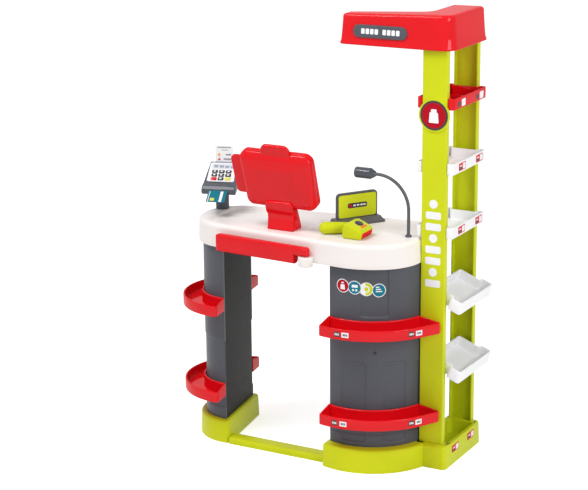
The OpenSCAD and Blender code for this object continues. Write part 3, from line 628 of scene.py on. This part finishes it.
# %% Gate
GATE_HALF, GATE_LEN, NOSE_LEN, OVER_BOSS = 11.0, 290.0, 32.0, 596.2
GATE_EDGE, GATE_EASE, GATE_TURN = 6.0, 7.0, math.atan(-27 / 395)
gate_low, gate_high = solid("gate_arm")[:MIDDLE, 2]


def rounded(half, z0, z1, r, k=6):
    """Cross-sections for arrays of half width, bottom, top and corner: four quarter arcs in turn."""
    t = np.radians(join([np.linspace(s, s + 90, k) for s in (180, 270, 0, 90)]))
    across, upper = np.repeat([-1, 1, 1, -1], k), np.repeat([0, 0, 1, 1], k)
    y = across * (half - r)[:, None] + r[:, None] * np.cos(t)
    z = np.where(upper == 0, (z0 + r)[:, None], (z1 - r)[:, None]) + r[:, None] * np.sin(t)
    return y, z


gate_x = np.r_[GATE_HALF * (1 - np.cos(np.linspace(0.12, math.pi / 2, 9))) - GATE_LEN,
               np.linspace(-275, -33, 12), -NOSE_LEN, 0.1 - NOSE_LEN, np.linspace(-30, 0, 5),
               GATE_HALF * np.sin(np.linspace(0.15, math.pi / 2 - 0.1, 10))]
past_end = np.maximum(np.maximum(GATE_HALF - GATE_LEN - gate_x, gate_x), 0)
gate_half = np.sqrt(np.clip(GATE_HALF ** 2 - past_end ** 2, 1, None))
ease = GATE_EASE * (1 - gate_half / GATE_HALF)
gate_foot = np.where(gate_x < 0.05 - NOSE_LEN, gate_low + ease, OVER_BOSS)
gate_y, gate_z = rounded(gate_half, gate_foot, gate_high - ease, np.minimum(GATE_EDGE, 0.9 * gate_half))
gate = np.stack([np.broadcast_to(gate_x[:, None], gate_y.shape), gate_y, gate_z], 2)
piece("gate_bar", [turned(gate, GATE_TURN, PIVOT[:2])], red, "red_plastic", "gate_arm", "gate")

# %% [markdown]
# The flat rack shelves are trays with a narrow middle between the panels and a broad strip outside each
# edge, so their outline is the letter H.

# %% Rack shelves
shelf_line = fillet([(286, -20), (301.6, -20), (301.6, -3.6), (372.4, -3.6), (372.4, -20), (391.9, -20),
                     (391.9, 194), (372.4, 194), (372.4, 177.6), (301.6, 177.6), (301.6, 194), (286, 194)],
                    [6, 5, 1, 1, 5, 8, 8, 5, 1, 1, 5, 6])
for level, finish, slot in (("top", red, "red_plastic"), ("middle", snow, "white_plastic"),
                            ("low", snow, "white_plastic")):
    z0, z1 = solid(f"rack_shelf_{level}")[:MIDDLE, 2]
    tray = carry(shelf_line, tray_edge(z0, z1, 3.4, 1.4))
    piece(f"rack_{level}_tray", [tray], finish, slot, f"rack_shelf_{level}")

# %% [markdown]
# The tilted bins are deeper trays of the same kind. A tilted outline would be hard to draw, so they are
# drawn flat, their front wall is leaned back, and they are tipped about the panels' edge.

# %% Tilted bins
BIN_H, BIN_WALL, BIN_LEAN, TILT, DISC_T = 33.0, 6.0, 4.0, math.radians(22), 3.0
panel_x = solid("rack_rear_panel")[HIGH, 0]
panel_front = solid("rack_front_panel")[LOW, 1] + DISC_T
panel_rear = solid("rack_rear_panel")[HIGH, 1]
bin_line = fillet([(-58, 18.4), (6, 18.4), (6, 2), (46.5, 2), (46.5, 216), (6, 216), (6, 199.6),
                   (-58, 199.6)], [8, 1, 8, 9, 9, 8, 1, 8])
bin_rings = carry(bin_line, tray_edge(0, BIN_H, BIN_WALL, 1.5))
bin_rings[..., 0] -= BIN_LEAN * bin_rings[..., 2] / BIN_H * soft_step(bin_rings[..., 0] - 30, 8)
bin_up, bin_out = swung(Z, X, TILT)
for level, z0 in (("upper", 459), ("lower", 265)):
    tray = lay(bin_rings, (panel_x, panel_front, z0), bin_out, Y, bin_up)
    piece(f"bin_{level}_tray", [tray], snow, "white_plastic", f"bin_{level}")

# %% [markdown]
# The canopy is an L-shaped moulding, open below, with a broad round corner over the rack and an arm that
# falls away a little. A Solidify modifier could give the wall, but a profile that starts inside also rolls
# the lower edge. The sign is a dark plate that leans with the front.

# %% Canopy and sign
ARM_DROP, CANOPY_H, CANOPY_TOP, SIGN_T, SIGN_LEAN = 10.0, 90.0, 89.6, 3.0, math.atan(7 / 70)
canopy_z = solid("canopy")[LOW, 2]
canopy_line = fillet([(62, -34), (389, -34), (389, 201.8), (282, 201.8), (282, 55.4), (62, 26.2)],
                     [17, 40, 17, 17, 20, 17])
canopy_edge = join([[(-13, 82), (-9, 55), (-4.6, 10)], curve(-0.8, 2, 3.0, 180, 360, 7),
                    [(1.2, 5), (-1.2, 12), (-3.2, 32), (-6, 70)],
                    curve(-16.4, CANOPY_TOP - 10, 10, 5, 90, 7)])
canopy = carry(canopy_line, canopy_edge)
canopy = join([canopy, fan(canopy[-1], (338, -3), 24)])
arm_fall = ARM_DROP * soft_step(215 - canopy[..., 0], 150)
canopy[..., 2] -= arm_fall * np.clip(canopy[..., 2] / CANOPY_H, 0, 1)
ledge = slab(block(298, panel_front + 6, 366, panel_rear, 3), (canopy_z * Z, X, Y, Z), 20, 24, 0.6, 0.6)
piece("canopy_moulding", [canopy + canopy_z * Z, ledge], red, "red_plastic", "canopy")
sign_up, sign_in = swung(Z, Y, SIGN_LEAN)
SIGN = (np.array([105.0, -34.0, canopy_z + 6]), X, sign_up, -sign_in)
sign = slab(block(0, 14, 156, 48, 16.8), SIGN, -1.5, SIGN_T, 0.2, 1.0)
piece("sign_face", [sign], grey, "dark_plastic", "sign_plate")

# %% [markdown]
# The till monitor leans towards the customer and shows them its back, which rolls over to a flat that falls
# away near the top, with a hand tab. The fall could be a second piece, but scaling the lift of the rings
# above one height makes the slope and keeps the roll.

# %% Monitor casing
LEAN = math.radians(18.5)
ROLL_R, CASING_T, SLOPE_FOOT, SLOPE_RISE = 20.0, 28.0, 122.0, 44.0
MON = np.array([solid("monitor_casing")[MIDDLE, 0], solid("monitor_casing")[HIGH, 1],
                solid("monitor_bezel")[LOW, 2]])
mon_out, mon_up = swung(Y, Z, LEAN)
BACK_FACE = (MON, X, mon_up, -mon_out)
shell_line = fillet([(-107, 0), (107, 0), (110, 166), (-110, 166)], 24)
casing_edge = join([[(-1, -0.5), (0, 1), (0, 5)],
                    curve(-ROLL_R, CASING_T - ROLL_R, ROLL_R, 0, 90, 10)])
casing = carry(shell_line, casing_edge)
casing = join([casing, fan(casing[-1], (0, 80), 30)])
casing[..., 2] *= 1 - 0.5 * np.clip((casing[..., 1] - SLOPE_FOOT) / SLOPE_RISE, 0, 1)
tab = slab(fillet([(-42, 140), (50, 140), (47, 191), (-39, 191)], 19), BACK_FACE, 0.5, 12.5, 4, 6)
piece("monitor_shell", [lay(casing, *BACK_FACE), tab], red, "red_plastic", "monitor_casing")

# %% [markdown]
# On the cashier's side a frame holds the screen, and a lug stands out at one side. The frame takes the
# casing's outline with its directions exchanged and its order reversed, so that it still runs counter-
# clockwise. Below, a bracket on a waisted foot holds the lower edge.

# %% Monitor frame, screen and bracket
SCREEN_INSET, SCREEN_TOP, BRACKET_HALF = 18.2, 12.6, 40.0
INNER_FACE = (MON, mon_up, X, mon_out)
bezel_line = shell_line[::-1, ::-1]
bezel_edge = join([[(-1, 0)], curve(-2, 3, 2, -80, 0), curve(-5, 9, 5, 0, 90),
                   [(-15, 13.8), (-17, 10.6), (-18, 10.4)]])
bezel = lay(carry(bezel_line, bezel_edge), *INNER_FACE)
lug = slab(fillet([(24, -92), (24, -146), (140, -146), (140, -92)], 12), INNER_FACE, 0, 13, 3, 4)
piece("monitor_frame", [bezel, lug], red, "red_plastic", "monitor_bezel")
screen_line = carry(bezel_line, [(-SCREEN_INSET, 0)])[0, :, :2]
screen = slab(screen_line, INNER_FACE, SCREEN_TOP - 2, SCREEN_TOP, 0.3, 0.8)
piece("monitor_glass", [screen], glass, "display_plastic", "monitor_screen")
stand_line = fillet([(-118, 640.2), (-64, 640.2), (-67, 652), (-88, 704), (-114, 697), (-114, 685),
                     (-112, 671), (-114, 652)], [3, 4, 8, 3, 4, 10, 14, 8])
stand = slab(stand_line, (X * MON[0], Y, Z, X), -BRACKET_HALF, BRACKET_HALF, 3, 3)
lip = slab(block(-44, -15, 42, 28, 10), BACK_FACE, 26, 34.3, 0.5, 5)
piece("monitor_bracket", [stand, lip], red, "red_plastic", "monitor_stand")

# %% [markdown]
# The card reader turns towards the customer on its post. Its side view is one outline carried across, from
# -1 to 1. A second outline could make the sides swell, but it is enough to scale the way across by a half
# width that grows towards the nose.

# %% Card reader
TURN, POST_R, BACK_HALF, NOSE_HALF = math.radians(18), 19.0, 39.0, 49.0
READ = np.array([-344.0, 29.0, solid("reader_post")[HIGH, 2]])
read_fwd, read_right = swung(-Y, X, TURN)
reader_line = fillet([(-40, 0), (46, 0), (54, 5), (53, 16), (45, 25), (22, 30), (-29, 77), (-38, 76),
                      (-44, 62)], [6, 5, 3, 4, 6, 3, 3, 3, 8])
quarter = np.radians(np.linspace(-90, 0, 6))
side_edge = np.stack([3 * np.cos(quarter) - 3, 0.067 * np.sin(quarter) - 0.933], 1)
housing = carry(reader_line, join([side_edge, side_edge[::-1] * [1, -1]]))
housing[..., 2] *= BACK_HALF + (NOSE_HALF - BACK_HALF) * soft_step(housing[..., 0] + 6, 32)
piece("reader_housing", [lay(housing, READ, read_fwd, Z, -read_right)], reader_grey, "grey_plastic",
      "reader_body")
post = lathe([(POST_R, z) for z in (COUNTER_Z + 0.1, 650, 670, READ[2])])
piece("reader_pillar", [post + [*READ[:2], 0]], reader_grey, "grey_plastic", "reader_post")

# %% [markdown]
# On the reader's slope lie a pale pad, nine soft keys and a readout. A card stands in the slot of the nose,
# tilted down, and a paper slip stands up behind.

# %% Reader pad, card and slip
KEY_TOP, READOUT_TOP, CARD_T, CARD_TILT = 3.2, 1.8, 1.2, math.radians(30)
pad_out, pad_up = swung(read_fwd, Z, math.atan2(51, 47))
PAD = (READ + 22 * read_fwd + 30 * Z, read_right, pad_up, pad_out)


def tile(i, j, half_u, half_v, r, rise=0.0):
    """Outline of a tile about the middle of the key in column i and row j, or a little higher up."""
    u, v = 20 * i - 1, 12.4 * j + 11 + rise
    return block(u - half_u, v - half_v, u + half_u, v + half_v, r)


def key(i, j):
    """One key of the pad: a rounded block with a soft top."""
    return slab(tile(i, j, 8.5, 5.5, 2.5), PAD, 1.0, KEY_TOP, 0.2, 1.4, 0.6)


pad = slab(fillet([(-41, 1.5), (39, 1.5), (35, 66.5), (-37, 66.5)], 5), PAD, 0, 1.2, 0.2, 0.6)
piece("reader_pad", [pad], paper_white, "key_plastic", "reader_keys")
dark_keys = [(i, j) for i in (-1, 0, 1) for j in (0, 1, 2) if not (j == 0 and i)]
piece("reader_keys_dark", [key(i, j) for i, j in dark_keys], ink, "key_plastic")
piece("reader_key_red", [key(-1, 0)], red, "key_plastic")
piece("reader_key_lime", [key(1, 0)], pale_lime, "key_plastic")
strip = slab(block(-33, 45, 31, 63, 3), PAD, 1.0, READOUT_TOP, 0.1, 0.4)
piece("reader_readout", [strip], readout, "key_plastic")
card_up, card_out = swung(Z, read_fwd, CARD_TILT)
CARD = (READ + 54 * read_fwd + 12 * Z, -read_right, card_out, card_up)
card = slab(block(-27, -25, 27, 45, 3), CARD, -CARD_T / 2, CARD_T / 2, 0.3, 0.3)
piece("bank_card_sheet", [card], teal, "card_plastic", "bank_card", "card")
SLIP = (READ - 33.2 * read_fwd, read_right, Z, read_fwd)
slip = slab(block(-26, 41, 26, 124, 1.5), SLIP, -0.8, 0, 0.1, 0.1)
piece("receipt_slip", [slip], paper_white, "paper", "receipt")

# %% [markdown]
# The hand scanner lies on the counter: a round handle, and a wedge-shaped head with a dark button on its
# slope and a red ribbed window in its front. The handle is turned upright and then laid down, and the head
# is its side view carried across.

# %% Hand scanner
GRIP_R, GRIP_TURN, HEAD_W, RIBS, RIB_PITCH = 16.5, math.radians(31), 72.0, 8, 7.2
SCAN = np.array([107.0, -57.0, COUNTER_Z])
HEAD = SCAN + [14, 15, 0]
grip_way, grip_side = swung(X, Y, GRIP_TURN)
grip_end = np.radians(np.linspace(4, 90, 10))
grip = join([np.stack([GRIP_R * np.sin(grip_end), -66.5 - GRIP_R * np.cos(grip_end)], 1),
             [(16, -40), (14.6, -10), (14, 14)]])
handle = lay(lathe(grip, 48), SCAN + (GRIP_R + 0.3) * Z, grip_side, Z, grip_way)
head_line = fillet([(-9, 0.4), (45, 0.4), (50.5, 20), (43, 27), (8, 42), (-4, 40), (-10, 24)], 6, 1.0)
head = slab(head_line, (HEAD, X, Z, -Y), 0, HEAD_W, 5.5, 5.5)
piece("scanner_moulding", [handle, head], lime, "lime_plastic", "scanner_body", "scanner")
PUSH = (HEAD + [22.26, -30.24, 35.71], 0.9149 * X - 0.4036 * Z, Y, 0.4036 * X + 0.9149 * Z)
push = lathe(join([[(10, -3.5)], curve(7.4, -0.4, 2.6, 0, 90)]), 48)
piece("scanner_push", [lay(push, *PUSH)], ink, "grey_plastic", "scanner_button", "scan_button")
PANE = (HEAD + [45, 0, 2], 0.2677 * X + 0.9636 * Z, -Y, 0.9636 * X - 0.2677 * Z)
ribs = [slab(block(2, 7.5 + RIB_PITCH * k, 16, 12.5 + RIB_PITCH * k, 2), PANE, 0, 2, 0.2, 0.9)
        for k in range(RIBS)]
ribs.append(slab(block(1, 6, 17, 66, 3), PANE, 0, 1.2, 0.2, 0.5))
piece("scanner_ribs", ribs, red, "red_plastic", "scanner_window", "scanner")

# %% [markdown]
# The customer's display stands upright in a dark wedge, beside the scanner. Its lime face, made brighter as
# painted light because it turns away from the key lamp, could be a second finish on the panel, but a thin
# plate of its own has a crisp edge.

# %% Display
DISPLAY_TURN, FRAME_HALF, FACE_TOP, WEDGE_HALF = math.radians(56), 4.5, 4.9, 71.0
disp_x, disp_in = swung(X, Y, DISPLAY_TURN)
FACE = (np.array([*solid("display_panel")[MIDDLE, :2], COUNTER_Z]), disp_x, Z, -disp_in)
wedge_line = fillet([(-26, 0.2), (46, 0.2), (14, 14), (-20, 14)], [2, 2, 4, 4])
wedge = slab(wedge_line, (FACE[0], -disp_in, Z, -disp_x), -WEDGE_HALF, WEDGE_HALF, 4, 4)
piece("display_wedge", [wedge], stem_grey, "dark_plastic", "display_base")
display_frame = slab(block(-64, 4, 64, 86, 12), FACE, -FRAME_HALF, FRAME_HALF, 1.5, 1.5)
piece("display_frame", [display_frame], stem_grey, "display_plastic", "display_panel")
# The face's finish is its lime print brightened as painted light, for the key lamp it turns away from.
display_face = slab(block(-58.5, 16, 59.5, 80, 7), FACE, FACE_TOP - 0.6, FACE_TOP, 0.1, 0.3)
piece("display_face", [display_face], display_lime_painted_light, "display_plastic")

# %% [markdown]
# The microphone is a round rod carried along a straight line and a quarter circle, on a small collar, with
# a turned head. A curve object with a bevel would also give the rod, but rings set square to the path are
# the same thing worked out openly.

# %% Microphone
BEND_R, BEND_Z, ROD_R, ROD_SIDES = 92.0, 710.0, 4.5, 24
MIC = solid("mic_collar")[MIDDLE] * [1, 1, 0]
bend = np.radians(np.linspace(0, 90, 30))
mic_z = BEND_Z + BEND_R
rod_path = join([[(0, 635.4), (0, 660), (0, 690)],
                 np.stack([BEND_R * (np.cos(bend) - 1), BEND_Z + BEND_R * np.sin(bend)], 1),
                 [(-95, mic_z), (-98, mic_z)]])
rod_way = np.gradient(rod_path, axis=0)
rod_way = rod_way / np.linalg.norm(rod_way, axis=1, keepdims=True)
swing = np.linspace(0, 2 * math.pi, ROD_SIDES, endpoint=False)[None, :, None]
normal = rod_way[:, 1:] * X - rod_way[:, :1] * Z
rod = (rod_path[:, :1] * X + rod_path[:, 1:] * Z)[:, None]
rod = rod + ROD_R * (np.cos(swing) * normal[:, None] + np.sin(swing) * Y)
piece("mic_rod", [rod + MIC], stem_grey, "grey_plastic", "mic_stem", "microphone")
capsule = lathe(join([[(5, -1), (6, 0), (8.8, 2.8)], curve(12.5, 14, 2.5, 25, 0, 3),
                      curve(11.2, 56.2, 3.8, 0, 90, 7)]), 48)
piece("mic_capsule", [lay(capsule, MIC + [-98, 0, mic_z], -Y, Z, -X)], mic_grey, "dark_plastic", "mic_head",
      "microphone")
ferrule = lathe(join([[(4.7, 640.1)], curve(8, 641, 1, -90, 0), curve(6.6, 644.6, 1.4, 0, 90),
                      [(4.7, 646)]]))
piece("mic_ferrule", [ferrule + MIC], stem_grey, "grey_plastic", "mic_collar")

# %% [markdown]
# The tall panels, the pin and the screws keep their exact solids, which already have every edge they need,
# and only take on a finish.

# %% Finishes of the kept solids
for name, finish in (("rack_front_panel", lime), ("rack_rear_panel", lime), ("gate_pin", stem_grey),
                     ("cabinet_screws", ink)):
    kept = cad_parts[name].data
    kept.materials.clear()
    kept.materials.append(finish)
    print(name, "keeps its solid")

# %% [markdown]
# Printed labels finish the stall. They could be painted in the material, but a thin sheet has a crisp edge:
# an outline shrunk in rings towards its middle. A rule of place puts its points on the surface below, a
# plane or an arc of a cabinet with its pressed panels.


# %% Printing
def sheet(line, put, lift=0.35, rings=5):
    """Thin print: a ring let into the surface, then rings from the outline to its middle, a little above."""
    mid = line.mean(0)
    w = np.r_[1, np.linspace(1, 0.02, rings)]
    flat = mid + (line[None] - mid) * w[:, None, None]
    h = np.broadcast_to(np.r_[-0.3, np.full(rings, lift)][:, None], flat.shape[:2])
    return put(flat[..., 0], flat[..., 1], h)


def on_plane(origin, ea, eb, eh, rise=0.0):
    """Rule of place for a plane, raised along its own normal."""
    return lambda u, v, h: lay(np.stack([u, v, h + rise], -1), origin, ea, eb, eh)


def on_arc(centre, r, angle, panels=()):
    """Rule of place for an upright arc: length along it from an angle, and height, less the pressed depth."""
    def put(u, v, h):
        a = math.radians(angle) + u / r
        out = r + h - (pressed(r * (a - math.radians(FACE_MID)), v, panels) if panels else 0)
        return np.stack([centre[0] + out * np.cos(a), centre[1] + out * np.sin(a), v], -1)
    return put


def bag(x, y, w):
    """Outline of a plain carrier bag: a box that widens a little to its foot."""
    low, high = y - 0.55 * w, y + 0.45 * w
    return fillet([(x - 0.5 * w, low), (x + 0.5 * w, low), (x + 0.42 * w, high), (x - 0.42 * w, high)],
                  0.08 * w, 0.5)


prints = {colour: [] for colour in ("ink", "white", "red", "teal", "lime", "faint", "amber", "crimson")}


def stamp(colour, shapes, put, lift=0.35, rings=5):
    """Adds a sheet of each outline to the prints of one colour."""
    prints[colour] += [sheet(shape, put, lift, rings) for shape in shapes]


print("print colours", len(prints))

# %% [markdown]
# Four round stickers sit side by side on the front cabinet, each a white rim, a coloured field and a plain
# mark. They follow the curve and dip where the niche begins.

# %% Stickers on the cabinet
RIM_R, FIELD_R, RIM_LIFT, FIELD_LIFT, MARK_LIFT = 19.0, 16.8, 0.3, 0.55, 0.8
stickers = []
for angle, z0, colour in ((-93, 519.5, "crimson"), (-81, 518, "teal"), (-70, 514.5, "lime"),
                          (-58, 511.5, "teal")):
    put = on_arc(FRONT, FRONT_R, angle, front_panels)
    stickers.append(put)
    stamp("white", [disc(0, z0, RIM_R)], put, RIM_LIFT, 8)
    stamp(colour, [disc(0, z0, FIELD_R)], put, FIELD_LIFT, 8)
marks = [(bag(0, 517, 14), 0), (block(-4, 526, 4, 530, 1.5), 0), (block(-8, 518, 9, 526, 1.5), 1),
         (disc(-4, 511, 3), 1), (disc(5, 511, 3), 1), (disc(0, 514.5, 9.5), 2)]
marks += [(block(-9, 507 + 6 * k, 9 - 4 * k, 510 + 6 * k, 1.2), 3) for k in range(3)]
for line, k in marks:
    stamp("white", [line], stickers[k], MARK_LIFT)
stamp("lime", [disc(0, 514.5, 6)], stickers[2], MARK_LIFT + 0.2)
print("stickers", len(stickers), "with", len(marks) + 1, "marks")

# %% [markdown]
# Price labels come in pairs on the lips of the curved shelves, a dark one beside a white one, each with
# three short bars in the other colour.

# %% Labels on the curved lips
OVER_LIFT = 0.6
lip_labels = ((402, -89, "ink"), (402, -83, "white"), (402, -36.5, "ink"), (402, -30.5, "white"),
              (150, -91, "ink"), (150, -84.5, "white"), (150, -36, "ink"), (150, -30.2, "white"))
for z0, angle, colour in lip_labels:
    put = on_arc(FRONT, LIP_R, angle)
    half, other = (10, "ink") if colour == "white" else (8, "white")
    stamp(colour, [block(-half, z0 - 7, half, z0 + 7, 1.5)], put)
    bars = [block(4.5 * k - 6, z0 - 3, 4.5 * k - 3, z0 + 3, 0.6) for k in range(3)]
    stamp(other, bars, put, OVER_LIFT)
print("lip labels", len(lip_labels))

# %% [markdown]
# The rack's outer side has a dark and a white label on the red shelf, and red labels with a white field
# below.

# %% Labels on the rack
shelf_side, base_side = on_plane((391.9, 0, 0), Y, Z, X), on_plane((388.9, 0, 0), Y, Z, X)
for y0 in (13, 132):
    stamp("ink", [block(y0 - 8, 1000, y0 + 8, 1013, 1.5)], shelf_side)
    stamp("white", [block(y0 + 15, 998, y0 + 39, 1017, 2)], shelf_side)
rack_labels = ((38, 836, shelf_side), (152, 836, shelf_side), (40, 663, shelf_side), (155, 663, shelf_side),
               (30, 44, base_side), (135, 44, base_side))
for y0, z0, put in rack_labels:
    stamp("red", [block(y0 - 22, z0 - 10, y0 + 22, z0 + 10, 2)], put)
    fields = [block(y0 + 3, z0 - 7.5, y0 + 19.5, z0 + 7.5, 1.5), block(y0 - 17, z0 + 1, y0 - 3, z0 + 4, 1)]
    stamp("white", fields, put, OVER_LIFT)
    stamp("ink", [block(y0 - 19, z0 - 7.5, y0 - 1, z0 - 1, 1)], put, OVER_LIFT)
print("red rack labels", len(rack_labels))

# %% [markdown]
# Plain white blocks and discs run up the front panel, eight tiles fill the sign, and the display shows a
# dark strip with a red dot.

# %% Marks on the column, sign and display
COLUMN_FOOT, COLUMN_PITCH, COLUMN_MARKS = 521.0, 31.2, 8
column = on_plane((337.5, panel_front, 0), X, Z, -Y)
for k in range(COLUMN_MARKS):
    z0 = COLUMN_FOOT + COLUMN_PITCH * k
    shape = disc(0, z0, 12) if k % 3 == 1 else block(-22, z0 - 10, 22, z0 + 10, 4)
    stamp("white", [shape], column)
sign_print, face_print = on_plane(*SIGN, SIGN_T), on_plane(*FACE, FACE_TOP)
sign_places, face_places = (24, 37, 50, 63, 86, 99, 112, 125), (-13, -2, 9, 18)
stamp("white", [block(x0, 24, x0 + 10, 38, 2) for x0 in sign_places], sign_print)
stamp("ink", [block(-30, 42, 30, 56, 4)], face_print)
stamp("red", [disc(-22, 49, 4.5)], face_print, OVER_LIFT)
stamp("white", [block(x0, 46.5, x0 + 8, 51.5, 1.5) for x0 in face_places], face_print, OVER_LIFT)
print("column marks", COLUMN_MARKS, "and sign tiles", len(sign_places))

# %% [markdown]
# The slip has faint bars where sums would stand, with a round and a three-cornered mark. The readout has
# four bars, and each dark key a small white tile.

# %% Print on the reader
FINE_LIFT = 0.2
slip_print, film, caps = on_plane(*SLIP), on_plane(*PAD, READOUT_TOP), on_plane(*PAD, KEY_TOP)
slip_bars = [(-20, 117.5, 20, 120.5), (-8, 110.5, 12, 112.5), (4, 96, 20, 100.5), (-2, 83, 20, 87.5),
             (2, 70, 20, 74.5), (-20, 58, 20, 60)]
film_bars = [(16 * k - 26, 49, 16 * k - 14, 58 - k) for k in range(4)]
stamp("faint", [block(*bar, 0.8) for bar in slip_bars], slip_print, FINE_LIFT)
stamp("amber", [disc(-15, 98, 4)], slip_print, FINE_LIFT)
stamp("red", [fillet([(-20, 82), (-10, 82), (-15, 89)], 1, 0.5)], slip_print, FINE_LIFT)
stamp("faint", [block(*bar, 1) for bar in film_bars], film, FINE_LIFT)
stamp("white", [tile(i, j, 3, 2.2, 1, 0.2) for i, j in dark_keys], caps, 0.15)
print("slip bars", len(slip_bars))

# %% [markdown]
# All prints of one colour on the stall become one piece. Prints on a part that moves are pieces of their
# own, so that they ride with it.

# %% Label pieces
inks = {"ink": (ink, "dark_plastic"), "white": (paper_white, "white_plastic"), "red": (red, "red_plastic"),
        "teal": (teal, "card_plastic"), "lime": (lime, "lime_plastic"), "faint": (faint, "dark_plastic"),
        "amber": (amber, "card_plastic"), "crimson": (crimson, "red_plastic")}
for colour, parts in prints.items():
    piece(f"labels_{colour}", parts, *inks[colour])
HEAD_LIFT = 0.7
card_print, head_print = on_plane(*CARD, CARD_T / 2), on_plane(*PUSH)
card_lines = [sheet(block(u0, 2, u1, 44, 0.5), card_print, FINE_LIFT) for u0, u1 in ((-17, -9), (21, 23))]
card_square = sheet(block(5, 29, 17, 40, 1.5), card_print, FINE_LIFT)
head_bars = [sheet(block(12, 11 * k - 17, 18.8, 11 * k - 8, 1), head_print, HEAD_LIFT) for k in range(3)]
halo = sheet(disc(0, 0, 1) * [11.5, 15] - [0.5, 0], head_print, HEAD_LIFT)
piece("card_marks", card_lines, paper_white, "card_plastic", body="card")
piece("card_square", [card_square], pale_lime, "card_plastic", body="card")
piece("scanner_mark", head_bars, orange, "lime_plastic", body="scanner")
piece("scanner_halo", [halo], ink, "grey_plastic", body="scanner")
screen_print = on_plane(*INNER_FACE, SCREEN_TOP)
screen_tiles = [sheet(block(34 + 34 * i, 38 * j - 72, 60 + 34 * i, 38 * j - 42, 3), screen_print, 0.3)
                for i in range(3) for j in range(4)]
piece("screen_tiles", screen_tiles, teal, "display_plastic")

# %% [markdown]
# The badge has a dark rim, a crimson field and a plain white bag. Rim and field are turned discs of two
# heights, laid with their axis towards the customer.

# %% Badge
BADGE_R, FIELD_TOP = 39.0, 1.8
badge_x, _, badge_z = solid("badge")[MIDDLE]
BADGE = (np.array([badge_x, solid("badge")[HIGH, 1], badge_z]), X, Z, -Y)
rim = lathe(join([curve(BADGE_R, 0.4, 0.4, -90, 0), curve(BADGE_R - 0.4, 0.9, 0.5, 0, 90)]), 96)
field = lathe(join([[(34, 1.2)], curve(33.6, FIELD_TOP - 0.3, 0.3, 0, 90)]), 96)
piece("badge_rim", [lay(rim, *BADGE)], ink, "red_plastic", "badge")
piece("badge_field", [lay(field, *BADGE)], crimson, "red_plastic")
badge_print = on_plane(*BADGE, FIELD_TOP)
badge_bag = sheet(bag(0, -4, 28), badge_print, FINE_LIFT)
badge_handle = sheet(block(-8, 8, 8, 17, 3), badge_print, 0.15)
piece("badge_mark", [badge_bag, badge_handle], paper_white, "white_plastic")
